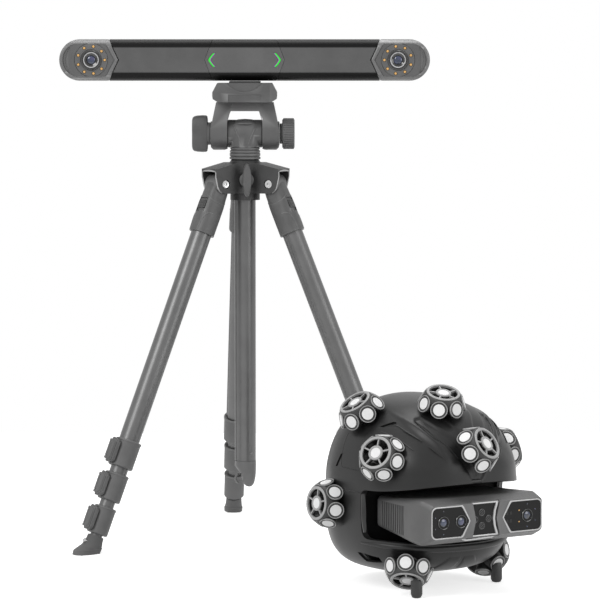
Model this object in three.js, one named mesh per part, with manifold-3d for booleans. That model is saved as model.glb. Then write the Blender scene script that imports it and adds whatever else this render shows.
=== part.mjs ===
// Optical scanner set: a tracker bar with a camera at each end on a folding tripod, and a hand unit
// in a ball-shaped shell that carries rings of round reflective markers.
// Millimetres, +Z up, +X to the right, the front faces -Y. The set stands on z = 0.
import * as THREE from 'three';
import { mergeVertices } from 'three/addons/utils/BufferGeometryUtils.js';
import Module from 'manifold-3d';

const wasm = await Module();
wasm.setup();

const radians = THREE.MathUtils.degToRad;
const halfTurn = Math.PI;
const quarterTurn = Math.PI / 2;
const fullTurn = Math.PI * 2;

// Fits and facets
const gap = 0.3;
const overrun = 3;
const weldDistance = 1e-4;
const roundSides = 16;
const tubeSides = 12;
const bodySides = 12;
const smallSides = 8;
const arcSteps = 2;
const longArcSteps = 6;
const roundPower = 2;
const softPower = 2.4;
const boxyPower = 3;

// Legs: lengths run down the leg from its pivot
const legCount = 3;
const legSpread = radians(23);
const firstLegAzimuth = radians(215);
const pivotRadius = 45;
const knuckleRadius = 14;
const shoulderLength = 75;
const shoulderWidth = 36;
const shoulderDepth = 34;
const socketDepth = 30;
const tubeTopStagger = 8;
const firstTubeDiameter = 29;
const tubeWall = 1.5;
const slidingGap = 0.5;
const firstCollarStart = 385;
const collarLength = 39;
const collarSpacing = 10;
const collarWall = 3.25;
const collarWallGrowth = 0.6;
const collarChamfer = 1.5;
const footGap = 3;
const footLength = 26;
const footDiameter = 23;
const soleToe = 25;
const soleHeel = 14;
const soleHalfWidth = 14;
const footSocketDepth = 14;
const pinRadius = 6;
const slideRecessDepth = 2;
const slideRecessHeight = 20;
const slideRecessWidth = 19;

// Clamp levers on the collars
const leverLength = 36;
const leverWidth = 15;
const leverThickness = 6;
const leverLift = 0.6;
const leverBarrelRadius = 3;
const leverBarrelLength = 20;
const leverHingeOffset = 8.5;
const leverLugLength = 4;
const leverTaper = 2.5;
const leverCorner = 4;
const leverPanel = 1;

// Apex casting
const channelWidth = 30;
const earThickness = 4;
const hoodThickness = 4;
const wingRadius = 61;
const hubRadius = 24;
const apexRise = 34;
const wingTipRise = 21.4;
const earDrop = 13.3;
const bushRadius = 21;
const bushHeight = 10;
const apexTopRadius = 20;

// Centre column
const columnDiameter = 30;
const columnWall = 3;
const columnEnd = 111.5;
const columnGroove = 4;
const columnGrooveAzimuth = radians(207);
const flangeDiameter = 44;
const flangeHeight = 8.7;
const hookLength = 38;
const hookTipRadius = 8;
const hookNotchRadius = 9;
const columnKnobHeight = 47;
const columnKnobWidth = 12.4;
const columnKnobThickness = 8;
const columnKnobStem = 5;
const columnKnobClearance = 1;
const columnKnobDisc = 10;
const columnKnobRise = 6;
const columnKnobEdge = 0.5;

// Pan and tilt head
const panRingRadius = 21.5;
const panRingHeight = 7.5;
const drumRadius = 19.7;
const drumHalfWidth = 24.5;
const tiltAxisRise = 19.7;
const armWidth = 23.8;
const armRadius = 23;
const yokeHalfDepth = 20;
const bridgeClearance = 32;
const bridgeThickness = 12.4;
const yokeTopInset = 8;
const lockKnobHeight = 53;
const lockKnobDepth = 24;
const lockKnobThickness = 22;
const lockKnobNeckRadius = 16;
const knobNeckLength = 3.9;
const dragKnobRadius = 22;
const dragKnobThickness = 17.6;
const dragKnobRibs = 20;
const dragKnobRibDepth = 1.2;
const platformWidth = 91;
const platformDepth = 80;
const platformHeight = 27;
const platformChamfer = 8;
const platformShoulder = 10.4;
const platformScoopRadius = 31.8;
const platformScoopDepth = 1.2;
const platformScoopHeight = 12.4;
const platformPanelWidth = 46;
const platformPanelHeight = 11;
const quickPlateWidth = 44;
const quickPlateDepth = 56;
const quickPlateSeat = 6;
const quickPlateTop = 2.8;

// Tracker bar
const trackerLength = 522;
const trackerHeight = 58.5;
const trackerDepth = 58;
const trackerCorner = 14;
const capLength = 84;
const capPoint = 14;
const capEdge = 3;
const faceRecess = 1.2;
const faceMargin = 5;
const lensInset = 45;
const lensRingRadius = 23.4;
const lensBarrelRadius = 13.6;
const lensWhiteRadius = 11.2;
const lensGlassRadius = 8.2;
const lensHeight = 6;
const lampCircleRadius = 19.2;
const lampRadius = 1.9;
const lampCount = 9;
const lampSides = 5;
const sleeveHalfWidth = 43.5;
const sleeveTip = 56;
const sleeveThickness = 1.5;
const sleeveLampInset = 11;
const sleeveLampHeight = 19;
const sleeveLampWidth = 3;
const lensSeat = 4;

// Hand unit: places are in its own frame, with the ball's middle at the origin and the front to -Y
const handX = 226;
const handY = -383;
const handYaw = radians(32.5);
const floorDrop = 126;
const ballHalfWidth = 115;
const ballRear = 113;
const ballVisor = 147;
const ballChin = 124;
const ballTop = 121;
const ballBottom = 105;
const ballLowerPower = 3.8;
const ballUpperPower = 2.4;
const ballFrontPower = 2.5;
const ballRearPower = 2;
const ballWall = 3.5;
const ballSides = 28;
const ballRings = 18;
const ballInnerSides = 18;
const ballInnerRings = 10;
const ballBlendShare = 0.4;
const seamHeight = 5;
const mouthBack = -44;
const mouthHigh = 9;
const mouthLow = -55;
const mouthBend = -100;
const mouthCorner = 12;
const lipHigh = 22;
const lipLow = -65;
const mouthRimDepth = 8.5;
const mouthRimWidth = 3.2;
const spineRear = 20;
const spineHalfWidth = 19;
const spineTipHalfWidth = 5;
const spineRise = 1.5;
const creaseDepth = 2;
const creaseWidth = 8;
const creaseTipWidth = 5;
const creaseRear = -66;
const creaseRearX = 46;
const creaseTipX = 1;
const wedgeX = 58;
const wedgeY = -16;
const wedgeLength = 26;
const wedgeWidth = 6;
const wedgeTurn = radians(62);
const wedgeDepth = 2.5;
const handOpeningHalfWidth = 62;
const handOpeningHalfHeight = 64;
const handOpeningRise = 2;
const slotInner = 30;
const slotFront = -33;
const slotLength = 52;
const slotHeight = -84;
const slotWidth = 11;
const bumperHeight = -66;
const bumperWidth = 9;
const bumperRise = 3;
const bumperFront = -30;
const chinPlateLow = -98;
const chinPlateHalfWidth = 50;
const chinPlateTopHalfWidth = 36;
const chinPlateRise = 1.6;
const chinJoint = 2;
const pegRadius = 4;
const pegToeShare = 0.7;
const rearPegRadius = 7;
const rearPegX = 18;
const rearPegY = 70;

// Camera module: its section swells from the back to a bevel behind the front frame. Each row has a
// share of the depth from the back, of the half width, and of the height above and below the middle.
const moduleWidth = 186;
const moduleHeight = 54;
const moduleMiddle = -23;
const moduleFront = -165;
const moduleBack = -44;
const moduleCorner = 6;
const moduleSectionShares = [
  [0, 0.9, 0.37, 0.28],
  [0.03, 0.94, 0.43, 0.34],
  [0.7, 1, 0.48, 0.52],
  [0.85, 0.97, 0.49, 0.54],
  [1, 0.93, 0.4, 0.4],
];
const neckHalfWidth = 15;
const neckHalfHeight = 15;
const facePlateHalfHeight = 18.8;
const facePlateOuter = 84;
const facePlateCorner = 7;
const facePlateLean = 11;
const leftPlateTip = 26;
const rightPlateTip = 24;
const middleMargin = 4;
const middleHalfHeight = 20;
const middleRecess = 4.5;
const windowX = -6;
const windowPitch = 10.5;
const windowRise = 8.5;
const windowRadius = 4.4;
const windowDepth = 1;
const moduleLensX = [-67, -40, 63];
const moduleLensRadius = 9;
const moduleGlassRadius = 6.5;
const moduleLensSeat = 5;
const moduleLensRim = 1.6;
const ventCount = 14;
const ventPitch = 4.2;
const ventFront = -116;
const ventHeight = 30;
const ventDepth = 2.5;

// Handle and trigger
const handleY = 35;
const handleHalfWidth = 17;
const handleHalfDepth = 22;
const handleWaistShare = 0.91;
const handleFlange = 26;
const handlePadProud = 1.5;
const triggerWidth = 15;
const triggerHeight = 20;
const triggerRise = 22;
const triggerTravel = 3;
const triggerProud = 4;
const triggerEdge = 1;
const triggerWell = 8;

// Marker wheels
const wheelDepth = 26;
const wheelFaceRadius = 21.5;
const wheelWaist = 28;
const wheelRimHeight = 2.5;
const wheelSeatSides = 7;
const wheelStemRadius = 12;
const wheelStemReach = 24;
const wheelSeats = 7;
const wheelSeatRadius = 11;
const wheelSeatThickness = 5;
const wheelSeatCircle = 27.5;
const wheelSeatLean = radians(67);
const wheelSpokes = 5;
const wheelSpokeWidth = 2.6;
const wheelHubRadius = 8.5;
const wheelWindowOuter = 17;
const wheelWindowDepth = 14;
const wheelPlaces = [
  [[-88, -5, 107], [-0.58, 0, 0.81], []],
  [[-15, -87, 121], [-0.11, -0.36, 0.93], []],
  [[2, -147, 66], [0.27, -0.8, 0.51], []],
  [[122, -40, 46], [0.87, -0.3, 0.29], []],
  [[-109, -83, 56], [-0.81, -0.43, 0.45], []],
  [[-128, 17, -15], [-0.98, -0.05, 0.1], []],
  [[-73, -95, -95], [-0.42, -0.45, -0.79], [[-68, -107]]],
  [[98, -38, -97], [0.7, -0.08, -0.7], [[90, -62]]],
];

const aluminium = new THREE.MeshStandardMaterial({ color: 0x5b5d5f, roughness: 0.45, metalness: 0.7 });
const casting = new THREE.MeshStandardMaterial({ color: 0x505254, roughness: 0.6, metalness: 0.4 });
const rubber = new THREE.MeshStandardMaterial({ color: 0x333435, roughness: 0.85, metalness: 0 });
const darkHousing = new THREE.MeshStandardMaterial({ color: 0x2a2b2c, roughness: 0.55, metalness: 0.1 });
const glass = new THREE.MeshStandardMaterial({ color: 0x1a1c30, roughness: 0.1, metalness: 0 });
const marker = new THREE.MeshStandardMaterial({ color: 0x8a8b8c, roughness: 0.5, metalness: 0.1 });

// Turns a closed three.js geometry into a solid that can be joined and cut.
function solid(geometry) {
  const bare = geometry.clone();
  for (const name of Object.keys(bare.attributes)) {
    if (name !== 'position') bare.deleteAttribute(name);
  }
  const merged = mergeVertices(bare, weldDistance);
  const position = merged.attributes.position.array;
  const index = Array.from(merged.index.array);
  const faces = [];
  for (let i = 0; i < index.length; i += 3) {
    const [a, b, c] = [index[i], index[i + 1], index[i + 2]];
    if (a !== b && b !== c && c !== a) faces.push([a, b, c]);
  }
  const corner = (i) => new THREE.Vector3(position[3 * i], position[3 * i + 1], position[3 * i + 2]);
  let volume = 0;
  for (const [a, b, c] of faces) volume += corner(a).dot(corner(b).cross(corner(c)));
  const outward = volume > 0 ? faces : faces.map(([a, b, c]) => [a, c, b]);
  return new wasm.Manifold(new wasm.Mesh({
    numProp: 3,
    vertProperties: Float32Array.from(position),
    triVerts: Uint32Array.from(outward.flat()),
  }));
}

// Turns a solid back into a three.js geometry.
function toGeometry(body) {
  const mesh = body.getMesh();
  const geometry = new THREE.BufferGeometry();
  geometry.setAttribute('position', new THREE.BufferAttribute(Float32Array.from(mesh.vertProperties), 3));
  geometry.setIndex(new THREE.BufferAttribute(Uint32Array.from(mesh.triVerts), 1));
  geometry.computeVertexNormals();
  return geometry;
}

function join(first, ...others) {
  return others.reduce((sum, body) => sum.add(body), first);
}

function cut(first, ...cutters) {
  return cutters.reduce((rest, body) => rest.subtract(body), first);
}

function addMesh(parent, name, body, material) {
  const mesh = new THREE.Mesh(toGeometry(body), material);
  mesh.name = name;
  parent.add(mesh);
  return mesh;
}

// A box from its low corner to its high corner.
function box(low, high) {
  const size = high.map((value, i) => value - low[i]);
  const middle = high.map((value, i) => (value + low[i]) / 2);
  return solid(new THREE.BoxGeometry(...size).translate(...middle));
}

// A revolved solid about Z from a profile of [radius, height] pairs, closed on the axis.
function turned(profile, sides = roundSides) {
  const points = profile.map(([radius, height]) => new THREE.Vector2(radius, height));
  const first = points[0];
  const last = points[points.length - 1];
  if (first.x > 0) points.unshift(new THREE.Vector2(0, first.y));
  if (last.x > 0) points.push(new THREE.Vector2(0, last.y));
  return new THREE.LatheGeometry(points, sides).rotateX(quarterTurn);
}

function rod(radius, low, high, sides = roundSides) {
  return turned([[radius, low], [radius, high]], sides);
}

// A cutter whose flats, not its corners, lie at the radius, so that a round piece turns inside it.
function boreRod(radius, low, high, sides = roundSides) {
  return rod(radius / Math.cos(halfTurn / sides), low, high, sides);
}

const alongX = (geometry) => geometry.rotateY(quarterTurn);
const alongFront = (geometry) => geometry.rotateX(quarterTurn);

function outline(points) {
  return new THREE.Shape(points.map(([x, y]) => new THREE.Vector2(x, y)));
}

// Prisms: a plan outline (x, y) rises along Z, a front outline (x, z) runs along Y,
// and a side outline (y, z) runs along X.
function planPrism(shape, low, high, bevel = 0, steps = arcSteps) {
  const settings = {
    depth: high - low - 2 * bevel, bevelEnabled: bevel > 0, bevelSize: bevel, bevelThickness: bevel,
    bevelOffset: -bevel, bevelSegments: 1, curveSegments: steps,
  };
  return new THREE.ExtrudeGeometry(shape, settings).translate(0, 0, low + bevel);
}

function frontPrism(shape, near, far, bevel = 0, steps = arcSteps) {
  return planPrism(shape, 0, far - near, bevel, steps).rotateX(quarterTurn).translate(0, far, 0);
}

function sidePrism(shape, low, high, bevel = 0, steps = arcSteps) {
  return planPrism(shape, 0, high - low, bevel, steps)
    .rotateX(quarterTurn).rotateZ(quarterTurn).translate(low, 0, 0);
}

// A rectangle with rounded corners about the origin.
function roundedRectangle(width, height, corner) {
  const shape = new THREE.Shape();
  const x = width / 2 - corner;
  const y = height / 2 - corner;
  shape.absarc(x, y, corner, 0, quarterTurn);
  shape.absarc(-x, y, corner, quarterTurn, halfTurn);
  shape.absarc(-x, -y, corner, halfTurn, 3 * quarterTurn);
  shape.absarc(x, -y, corner, 3 * quarterTurn, fullTurn);
  return shape;
}

// A closed skin over rings of points that run round one axis, with a fan at each end.
function loft(rings) {
  const count = rings[0].length;
  const points = rings.flat();
  const middle = (ring) => ring.reduce((sum, p) => sum.add(p), new THREE.Vector3()).divideScalar(count);
  const faces = [];
  for (let r = 0; r + 1 < rings.length; r += 1) {
    for (let i = 0; i < count; i += 1) {
      const a = r * count + i;
      const b = r * count + ((i + 1) % count);
      faces.push(a, b, b + count, a, b + count, a + count);
    }
  }
  const lowMiddle = points.length;
  points.push(middle(rings[0]), middle(rings[rings.length - 1]));
  const topStart = (rings.length - 1) * count;
  for (let i = 0; i < count; i += 1) {
    const next = (i + 1) % count;
    faces.push(lowMiddle, next, i, lowMiddle + 1, topStart + i, topStart + next);
  }
  const geometry = new THREE.BufferGeometry().setFromPoints(points);
  geometry.setIndex(faces);
  return geometry;
}

// One ring of a loft: a rounded box section whose corners sharpen as the power grows.
function sectionRing(halfWidth, halfDepth, height, power = softPower, shiftX = 0, tilt = 0) {
  const ring = [];
  for (let i = 0; i < bodySides; i += 1) {
    const angle = (i * fullTurn) / bodySides;
    const spread = (value) => Math.sign(value) * Math.abs(value) ** (roundPower / power);
    const x = shiftX + halfWidth * spread(Math.cos(angle));
    ring.push(new THREE.Vector3(x, halfDepth * spread(Math.sin(angle)), height - x * tilt));
  }
  return ring;
}

// A named empty object marks each joint's pivot: its Z axis is the joint's axis.
function markJoint(parent, name, place, axis) {
  const marker = new THREE.Object3D();
  marker.name = `joint.${name}`;
  marker.position.set(...place);
  marker.quaternion.setFromUnitVectors(new THREE.Vector3(0, 0, 1), new THREE.Vector3(...axis).normalize());
  parent.add(marker);
}

// Sizes that follow from the ones above
const tubeCount = 4;
const tubeRadius = (index) => firstTubeDiameter / 2 - index * (tubeWall + slidingGap);
const collarRadius = (index) => tubeRadius(index) + collarWall + index * collarWallGrowth;
const collarStart = (index) => firstCollarStart + index * (collarLength + collarSpacing);
const collarEnd = (index) => collarStart(index) + collarLength;
const tubeTop = (index) => shoulderLength - socketDepth + index * tubeTopStagger;
const footStart = collarEnd(tubeCount - 2) + footGap;
const legLength = footStart + footLength;
const pivotHeight = legLength * Math.cos(legSpread);
const apexTop = pivotHeight + apexRise;
const columnRadius = columnDiameter / 2;
const halfWing = channelWidth / 2 + earThickness;
const betweenWings = halfTurn / legCount;
const columnKnobBase = (halfWing + columnKnobDisc * Math.cos(betweenWings)) / Math.sin(betweenWings)
  + columnKnobClearance;
const columnKnobReach = (halfWing + (columnKnobHeight / 2) * Math.cos(betweenWings)) / Math.sin(betweenWings)
  + columnKnobClearance - columnKnobBase;
const columnKnobAzimuth = firstLegAzimuth + betweenWings;
const flangeTop = apexTop + gap + flangeHeight;
const panRingTop = flangeTop + gap + panRingHeight;
const tiltAxisHeight = panRingTop + tiltAxisRise;
const armInner = drumHalfWidth + gap;
const armOuter = armInner + armWidth;
const yokeTop = tiltAxisHeight + bridgeClearance + bridgeThickness;
const platformBase = yokeTop + gap;
const platformTop = platformBase + platformHeight;
const trackerBase = platformTop + quickPlateTop + gap;
const trackerAxis = trackerBase + trackerHeight / 2;
const trackerHalf = trackerLength / 2;
const capRadius = trackerHeight / 2;
const capTipX = trackerHalf - capLength;
const capShoulderX = capTipX + capPoint;
const lensX = trackerHalf - lensInset;
const sleeveLampX = sleeveTip - sleeveLampInset;
const frontFace = -trackerDepth / 2;
const handlePadFront = handleY - handleHalfDepth - handlePadProud;

// Leg

// The casting at the top of a leg: a knuckle between the ears, a flared body and a socket for the tube.
// The bright leg pin is fixed in it and turns in the ears.
function legShoulder() {
  const knuckleHalf = channelWidth / 2 - gap;
  const knuckle = solid(rod(knuckleRadius, -knuckleHalf, knuckleHalf, tubeSides).rotateX(quarterTurn));
  const body = solid(loft([
    sectionRing(shoulderDepth / 2, shoulderWidth / 2, -shoulderLength),
    sectionRing(shoulderDepth / 2, shoulderWidth / 2, -shoulderLength / 2),
    sectionRing(shoulderDepth / 2 - slideRecessDepth, knuckleHalf, -shoulderLength / 4, boxyPower),
    sectionRing(knuckleRadius - gap, knuckleHalf, 0, boxyPower),
  ]));
  const pinHalf = channelWidth / 2 + earThickness;
  const pin = solid(rod(pinRadius, -pinHalf, pinHalf, smallSides)
    .rotateX(quarterTurn));
  const socket = solid(rod(tubeRadius(0) + gap, -shoulderLength - overrun, -tubeTop(0) + gap, tubeSides));
  const recessX = shoulderDepth / 2 - slideRecessDepth;
  const recess = box(
    [recessX, -slideRecessWidth / 2, -shoulderLength / 2 - slideRecessHeight / 2],
    [shoulderDepth, slideRecessWidth / 2, -shoulderLength / 2 + slideRecessHeight / 2],
  );
  return cut(join(knuckle, body, pin), socket, recess);
}

// A collar round a tube's lower end with two lugs for its clamp lever on the outer side.
function collar(index) {
  const radius = collarRadius(index);
  const low = -collarEnd(index);
  const high = -collarStart(index);
  const ring = solid(rod(radius, low, high, tubeSides));
  const middle = (low + high) / 2;
  const hinge = leverHinge(index);
  const lugs = [-1, 1].map((side) => {
    const start = middle + side * (leverBarrelLength / 2 + gap);
    const end = start + side * leverLugLength;
    const lowEnd = Math.min(start, end);
    const highEnd = Math.max(start, end);
    const knuckle = solid(rod(leverBarrelRadius, lowEnd, highEnd, smallSides).translate(hinge.x, hinge.y, 0));
    const web = box(
      [tubeRadius(index), hinge.y - leverBarrelRadius, lowEnd],
      [hinge.x, hinge.y + leverBarrelRadius, highEnd],
    );
    return knuckle.add(web);
  });
  return join(ring, ...lugs);
}

// Where the lever of a collar hinges, in the leg's own frame.
function leverHinge(index) {
  return new THREE.Vector3(
    collarRadius(index) + leverLift + leverThickness / 2,
    -leverHingeOffset,
    -(collarStart(index) + collarEnd(index)) / 2,
  );
}

function tubeWithCollar(index) {
  const radius = tubeRadius(index);
  const tube = solid(rod(radius, -collarEnd(index), -tubeTop(index), tubeSides));
  const low = -collarEnd(index) - overrun;
  const bore = solid(rod(radius - tubeWall, low, -tubeTop(index) + overrun, tubeSides));
  return cut(join(tube, collar(index)), bore);
}

function lowestTube() {
  const radius = tubeRadius(tubeCount - 1);
  const low = -footStart - footSocketDepth + gap;
  const high = -tubeTop(tubeCount - 1);
  const tube = solid(rod(radius, low, high, tubeSides));
  return cut(tube, solid(rod(radius - tubeWall, low - overrun, high + overrun, tubeSides)));
}

// A hoof-shaped foot: a round socket that flares to a long sole, cut level with the ground.
function legFoot() {
  const slope = Math.tan(legSpread);
  const halfSole = (soleToe + soleHeel) / 2;
  const shift = (soleToe - soleHeel) / 2;
  const radius = footDiameter / 2;
  const body = solid(loft([
    sectionRing(halfSole, soleHalfWidth, -legLength, softPower, shift, slope),
    sectionRing(halfSole, soleHalfWidth, -legLength + footLength / 5, softPower, shift, slope),
    sectionRing(radius + gap, radius + gap, -footStart - footLength / 2, roundPower, 0, slope / 2),
    sectionRing(radius, radius, -footStart, roundPower),
  ]));
  const bottom = -footStart - footSocketDepth;
  return cut(body, solid(rod(tubeRadius(tubeCount - 1) + gap, bottom, -footStart + overrun, tubeSides)));
}

// A clamp lever: a tapered pad with a raised panel, and a barrel between the collar's lugs.
function clampLever() {
  const padStart = leverBarrelRadius + gap;
  const padEnd = padStart + leverWidth;
  const half = leverLength / 2;
  const pad = outline([
    [padStart, -half], [padEnd - leverCorner, -half], [padEnd, -half + leverCorner],
    [padEnd, half - leverCorner - leverTaper], [padEnd - leverCorner, half - leverTaper], [padStart, half],
  ]);
  const panelInset = leverCorner / 2;
  const panel = outline([
    [padStart + panelInset, -half + panelInset], [padEnd - leverCorner, -half + panelInset],
    [padEnd - panelInset, -half + leverCorner], [padEnd - panelInset, half - leverCorner - leverTaper],
    [padEnd - leverCorner, half - leverTaper - panelInset], [padStart + panelInset, half - panelInset],
  ]);
  const halfThickness = leverThickness / 2;
  const halfBarrel = leverBarrelLength / 2;
  const barrel = solid(rod(leverBarrelRadius, -halfBarrel, halfBarrel, smallSides));
  const neck = box([-halfThickness, 0, -halfBarrel], [halfThickness, padStart + gap, halfBarrel]);
  const plate = solid(sidePrism(pad, -halfThickness, halfThickness));
  const raised = solid(sidePrism(panel, 0, halfThickness + leverPanel));
  return join(barrel, neck, plate, raised);
}

function addLeg(parent, number) {
  const azimuth = firstLegAzimuth + ((number - 1) * fullTurn) / legCount;
  const turn = new THREE.Group();
  turn.rotation.z = azimuth;
  parent.add(turn);
  const leg = new THREE.Group();
  leg.position.set(pivotRadius, 0, pivotHeight);
  leg.rotation.y = -legSpread;
  turn.add(leg);
  const name = `leg_${number}`;
  addMesh(leg, `${name}_shoulder`, legShoulder(), casting);
  addMesh(leg, `${name}_tube_1`, tubeWithCollar(0), aluminium);
  addMesh(leg, `${name}_section_2`, tubeWithCollar(1), aluminium);
  addMesh(leg, `${name}_section_3`, tubeWithCollar(2), aluminium);
  addMesh(leg, `${name}_section_4`, lowestTube(), aluminium);
  addMesh(leg, `${name}_foot`, legFoot(), rubber);
  markJoint(leg, `${name}_fold`, [0, 0, 0], [0, 1, 0]);
  for (let index = 0; index + 1 < tubeCount; index += 1) {
    const hinge = leverHinge(index);
    const lever = addMesh(leg, `${name}_lever_${index + 1}`, clampLever(), rubber);
    lever.position.copy(hinge);
    markJoint(leg, `${name}_lever_${index + 1}_turn`, hinge.toArray(), [0, 0, -1]);
    markJoint(leg, `${name}_slide_${index + 2}`, [0, 0, -collarEnd(index)], [0, 0, -1]);
  }
}

// Apex and column

// The casting that carries the legs: a hub round the column and three channels with a hood and two ears.
function apexCasting() {
  const hub = solid(turned([
    [bushRadius, -earDrop - bushHeight], [bushRadius, -earDrop], [hubRadius, -earDrop],
    [hubRadius, apexRise - hoodThickness], [apexTopRadius, apexRise],
  ]));
  const wings = [];
  const channels = [];
  for (let i = 0; i < legCount; i += 1) {
    const azimuth = firstLegAzimuth + (i * fullTurn) / legCount;
    const side = new THREE.Shape();
    side.moveTo(0, -earDrop);
    side.lineTo(pivotRadius, -earDrop);
    side.absarc(pivotRadius, 0, earDrop, -quarterTurn, -quarterTurn / 4);
    side.lineTo(wingRadius, wingTipRise / 2);
    side.lineTo(wingRadius, wingTipRise);
    side.lineTo(hubRadius, apexRise - hoodThickness);
    side.lineTo(0, apexRise - hoodThickness);
    const wing = sidePrism(side, -halfWing, halfWing).rotateZ(-quarterTurn);
    wings.push(solid(wing.rotateZ(azimuth)));
    const channel = outline([
      [hubRadius, -earDrop - overrun], [wingRadius + overrun, -earDrop - overrun],
      [wingRadius + overrun, wingTipRise - hoodThickness], [hubRadius, apexRise - 2 * hoodThickness],
    ]);
    const hollow = sidePrism(channel, -channelWidth / 2, channelWidth / 2).rotateZ(-quarterTurn);
    const pinHole = boreRod(pinRadius + gap, -halfWing - overrun, halfWing + overrun, smallSides)
      .rotateX(quarterTurn).translate(pivotRadius, 0, 0);
    channels.push(solid(hollow.rotateZ(azimuth)), solid(pinHole.rotateZ(azimuth)));
  }
  const bore = solid(rod(columnRadius + gap, -earDrop - bushHeight - overrun, apexRise + overrun));
  const boss = solid(alongX(rod(columnKnobStem + earThickness, 0, columnKnobBase - gap))
    .translate(0, 0, columnKnobRise).rotateZ(columnKnobAzimuth));
  return cut(join(hub, boss, ...wings), ...channels, bore);
}

// The column: a tube with a groove down its side and the head's flange on top.
function centreColumn() {
  const tube = solid(rod(columnRadius, columnEnd, flangeTop));
  const flange = solid(rod(flangeDiameter / 2, apexTop + gap, flangeTop));
  const bore = solid(rod(columnRadius - columnWall, columnEnd - overrun, flangeTop - flangeHeight / 2));
  const grooveRadius = columnGroove / 2;
  const groove = solid(rod(grooveRadius, columnEnd - overrun, apexTop, smallSides)
    .translate(columnRadius, 0, 0).rotateZ(columnGrooveAzimuth));
  return cut(join(tube, flange), bore, groove);
}

// The plug at the column's foot, drawn in on one side to a hook.
function columnHook() {
  const seat = columnRadius - columnWall - gap;
  const top = columnEnd - gap;
  const body = solid(turned([
    [hookTipRadius, top - hookLength], [columnRadius - collarChamfer, top - hookLength / 2],
    [columnRadius, top - hookLength / 3], [columnRadius, top], [seat, top],
    [seat, top + columnRadius],
  ]));
  const notch = solid(rod(hookNotchRadius, -columnDiameter, columnDiameter, smallSides)
    .rotateX(quarterTurn).translate(columnRadius, 0, top - hookLength / 2));
  return cut(body, notch);
}

// The lock knob stands opposite the last leg: a disc, a stem and a long wing. Its axis is local Z.
function columnLockKnob() {
  const disc = solid(rod(columnKnobDisc, 0, columnKnobStem));
  const wing = roundedRectangle(columnKnobHeight, columnKnobWidth, columnKnobWidth / 2 - gap);
  const stem = solid(rod(columnKnobWidth / 2 - 2 * gap, 0, columnKnobReach, smallSides));
  const tip = columnKnobReach + columnKnobThickness;
  const grip = solid(planPrism(wing, columnKnobReach - gap, tip, columnKnobEdge));
  return join(disc, stem, grip);
}

// Head

function panBase() {
  return solid(rod(panRingRadius, flangeTop + gap, panRingTop));
}

// The tilt drum stands on the pan base, with flats on its front and back and a shaft through the yoke.
function headDrum() {
  const drum = solid(alongX(rod(drumRadius, -drumHalfWidth, drumHalfWidth)).translate(0, 0, tiltAxisHeight));
  const seat = box([-drumHalfWidth + gap, -drumRadius / 2, panRingTop + gap],
    [drumHalfWidth - gap, drumRadius / 2, tiltAxisHeight]);
  const post = solid(rod(panRingRadius - gap, panRingTop + gap, tiltAxisHeight));
  const shaft = solid(alongX(rod(lockKnobNeckRadius / 2, -armOuter, armOuter, smallSides))
    .translate(0, 0, tiltAxisHeight));
  return join(drum, seat, post, shaft);
}

// The yoke: an upturned U with round arm ends, from its front outline and its side outline.
function headYoke() {
  const base = tiltAxisHeight - armRadius;
  const top = yokeTop;
  const underBridge = tiltAxisHeight + bridgeClearance;
  const front = outline([
    [-armOuter + yokeTopInset, top], [-armOuter, tiltAxisHeight], [-armOuter, base + collarWall],
    [-armOuter + collarWall, base], [-armInner, base], [-armInner, tiltAxisHeight + drumRadius],
    [-armInner + collarWall, underBridge], [armInner - collarWall, underBridge],
    [armInner, tiltAxisHeight + drumRadius], [armInner, base], [armOuter - collarWall, base],
    [armOuter, base + collarWall], [armOuter, tiltAxisHeight], [armOuter - yokeTopInset, top],
  ]);
  const side = new THREE.Shape();
  side.moveTo(yokeHalfDepth, top);
  side.lineTo(-yokeHalfDepth, top);
  side.absarc(0, tiltAxisHeight, armRadius, halfTurn, fullTurn);
  const frontBody = solid(frontPrism(front, -armRadius - overrun, armRadius + overrun));
  const sideBody = solid(sidePrism(side, -armOuter - overrun, armOuter + overrun));
  const reach = armOuter + overrun;
  const bore = solid(alongX(boreRod(lockKnobNeckRadius / 2 + gap, -reach, reach, smallSides))
    .translate(0, 0, tiltAxisHeight));
  return cut(frontBody.intersect(sideBody), bore);
}

// The left knob: a round neck and a deep oval paddle. Its axis is local X.
function tiltLockKnob() {
  const neck = solid(alongX(rod(lockKnobNeckRadius, 0, knobNeckLength + gap)));
  const paddle = new THREE.Shape();
  paddle.absellipse(0, 0, lockKnobDepth / 2, lockKnobHeight / 2, 0, fullTurn);
  const settings = { depth: lockKnobThickness - 2 * collarWall, bevelEnabled: true, bevelSize: collarWall,
    bevelThickness: collarWall, bevelOffset: -collarWall, bevelSegments: 2, curveSegments: longArcSteps };
  const grip = new THREE.ExtrudeGeometry(paddle, settings).rotateX(quarterTurn).rotateZ(quarterTurn)
    .translate(knobNeckLength + collarWall, 0, 0);
  return join(neck, solid(grip));
}

// The right knob: a round neck and a ribbed rim. Its axis is local X.
function tiltDragKnob() {
  const neck = solid(alongX(rod(lockKnobNeckRadius - collarChamfer, 0, knobNeckLength + gap)));
  const points = [];
  for (let i = 0; i < 2 * dragKnobRibs; i += 1) {
    const angle = (i * halfTurn) / dragKnobRibs;
    const radius = dragKnobRadius - (i % 2) * dragKnobRibDepth;
    points.push([radius * Math.cos(angle), radius * Math.sin(angle)]);
  }
  const tip = knobNeckLength + dragKnobThickness;
  const rim = sidePrism(outline(points), knobNeckLength, tip, collarChamfer / 2);
  return join(neck, solid(rim));
}

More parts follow.
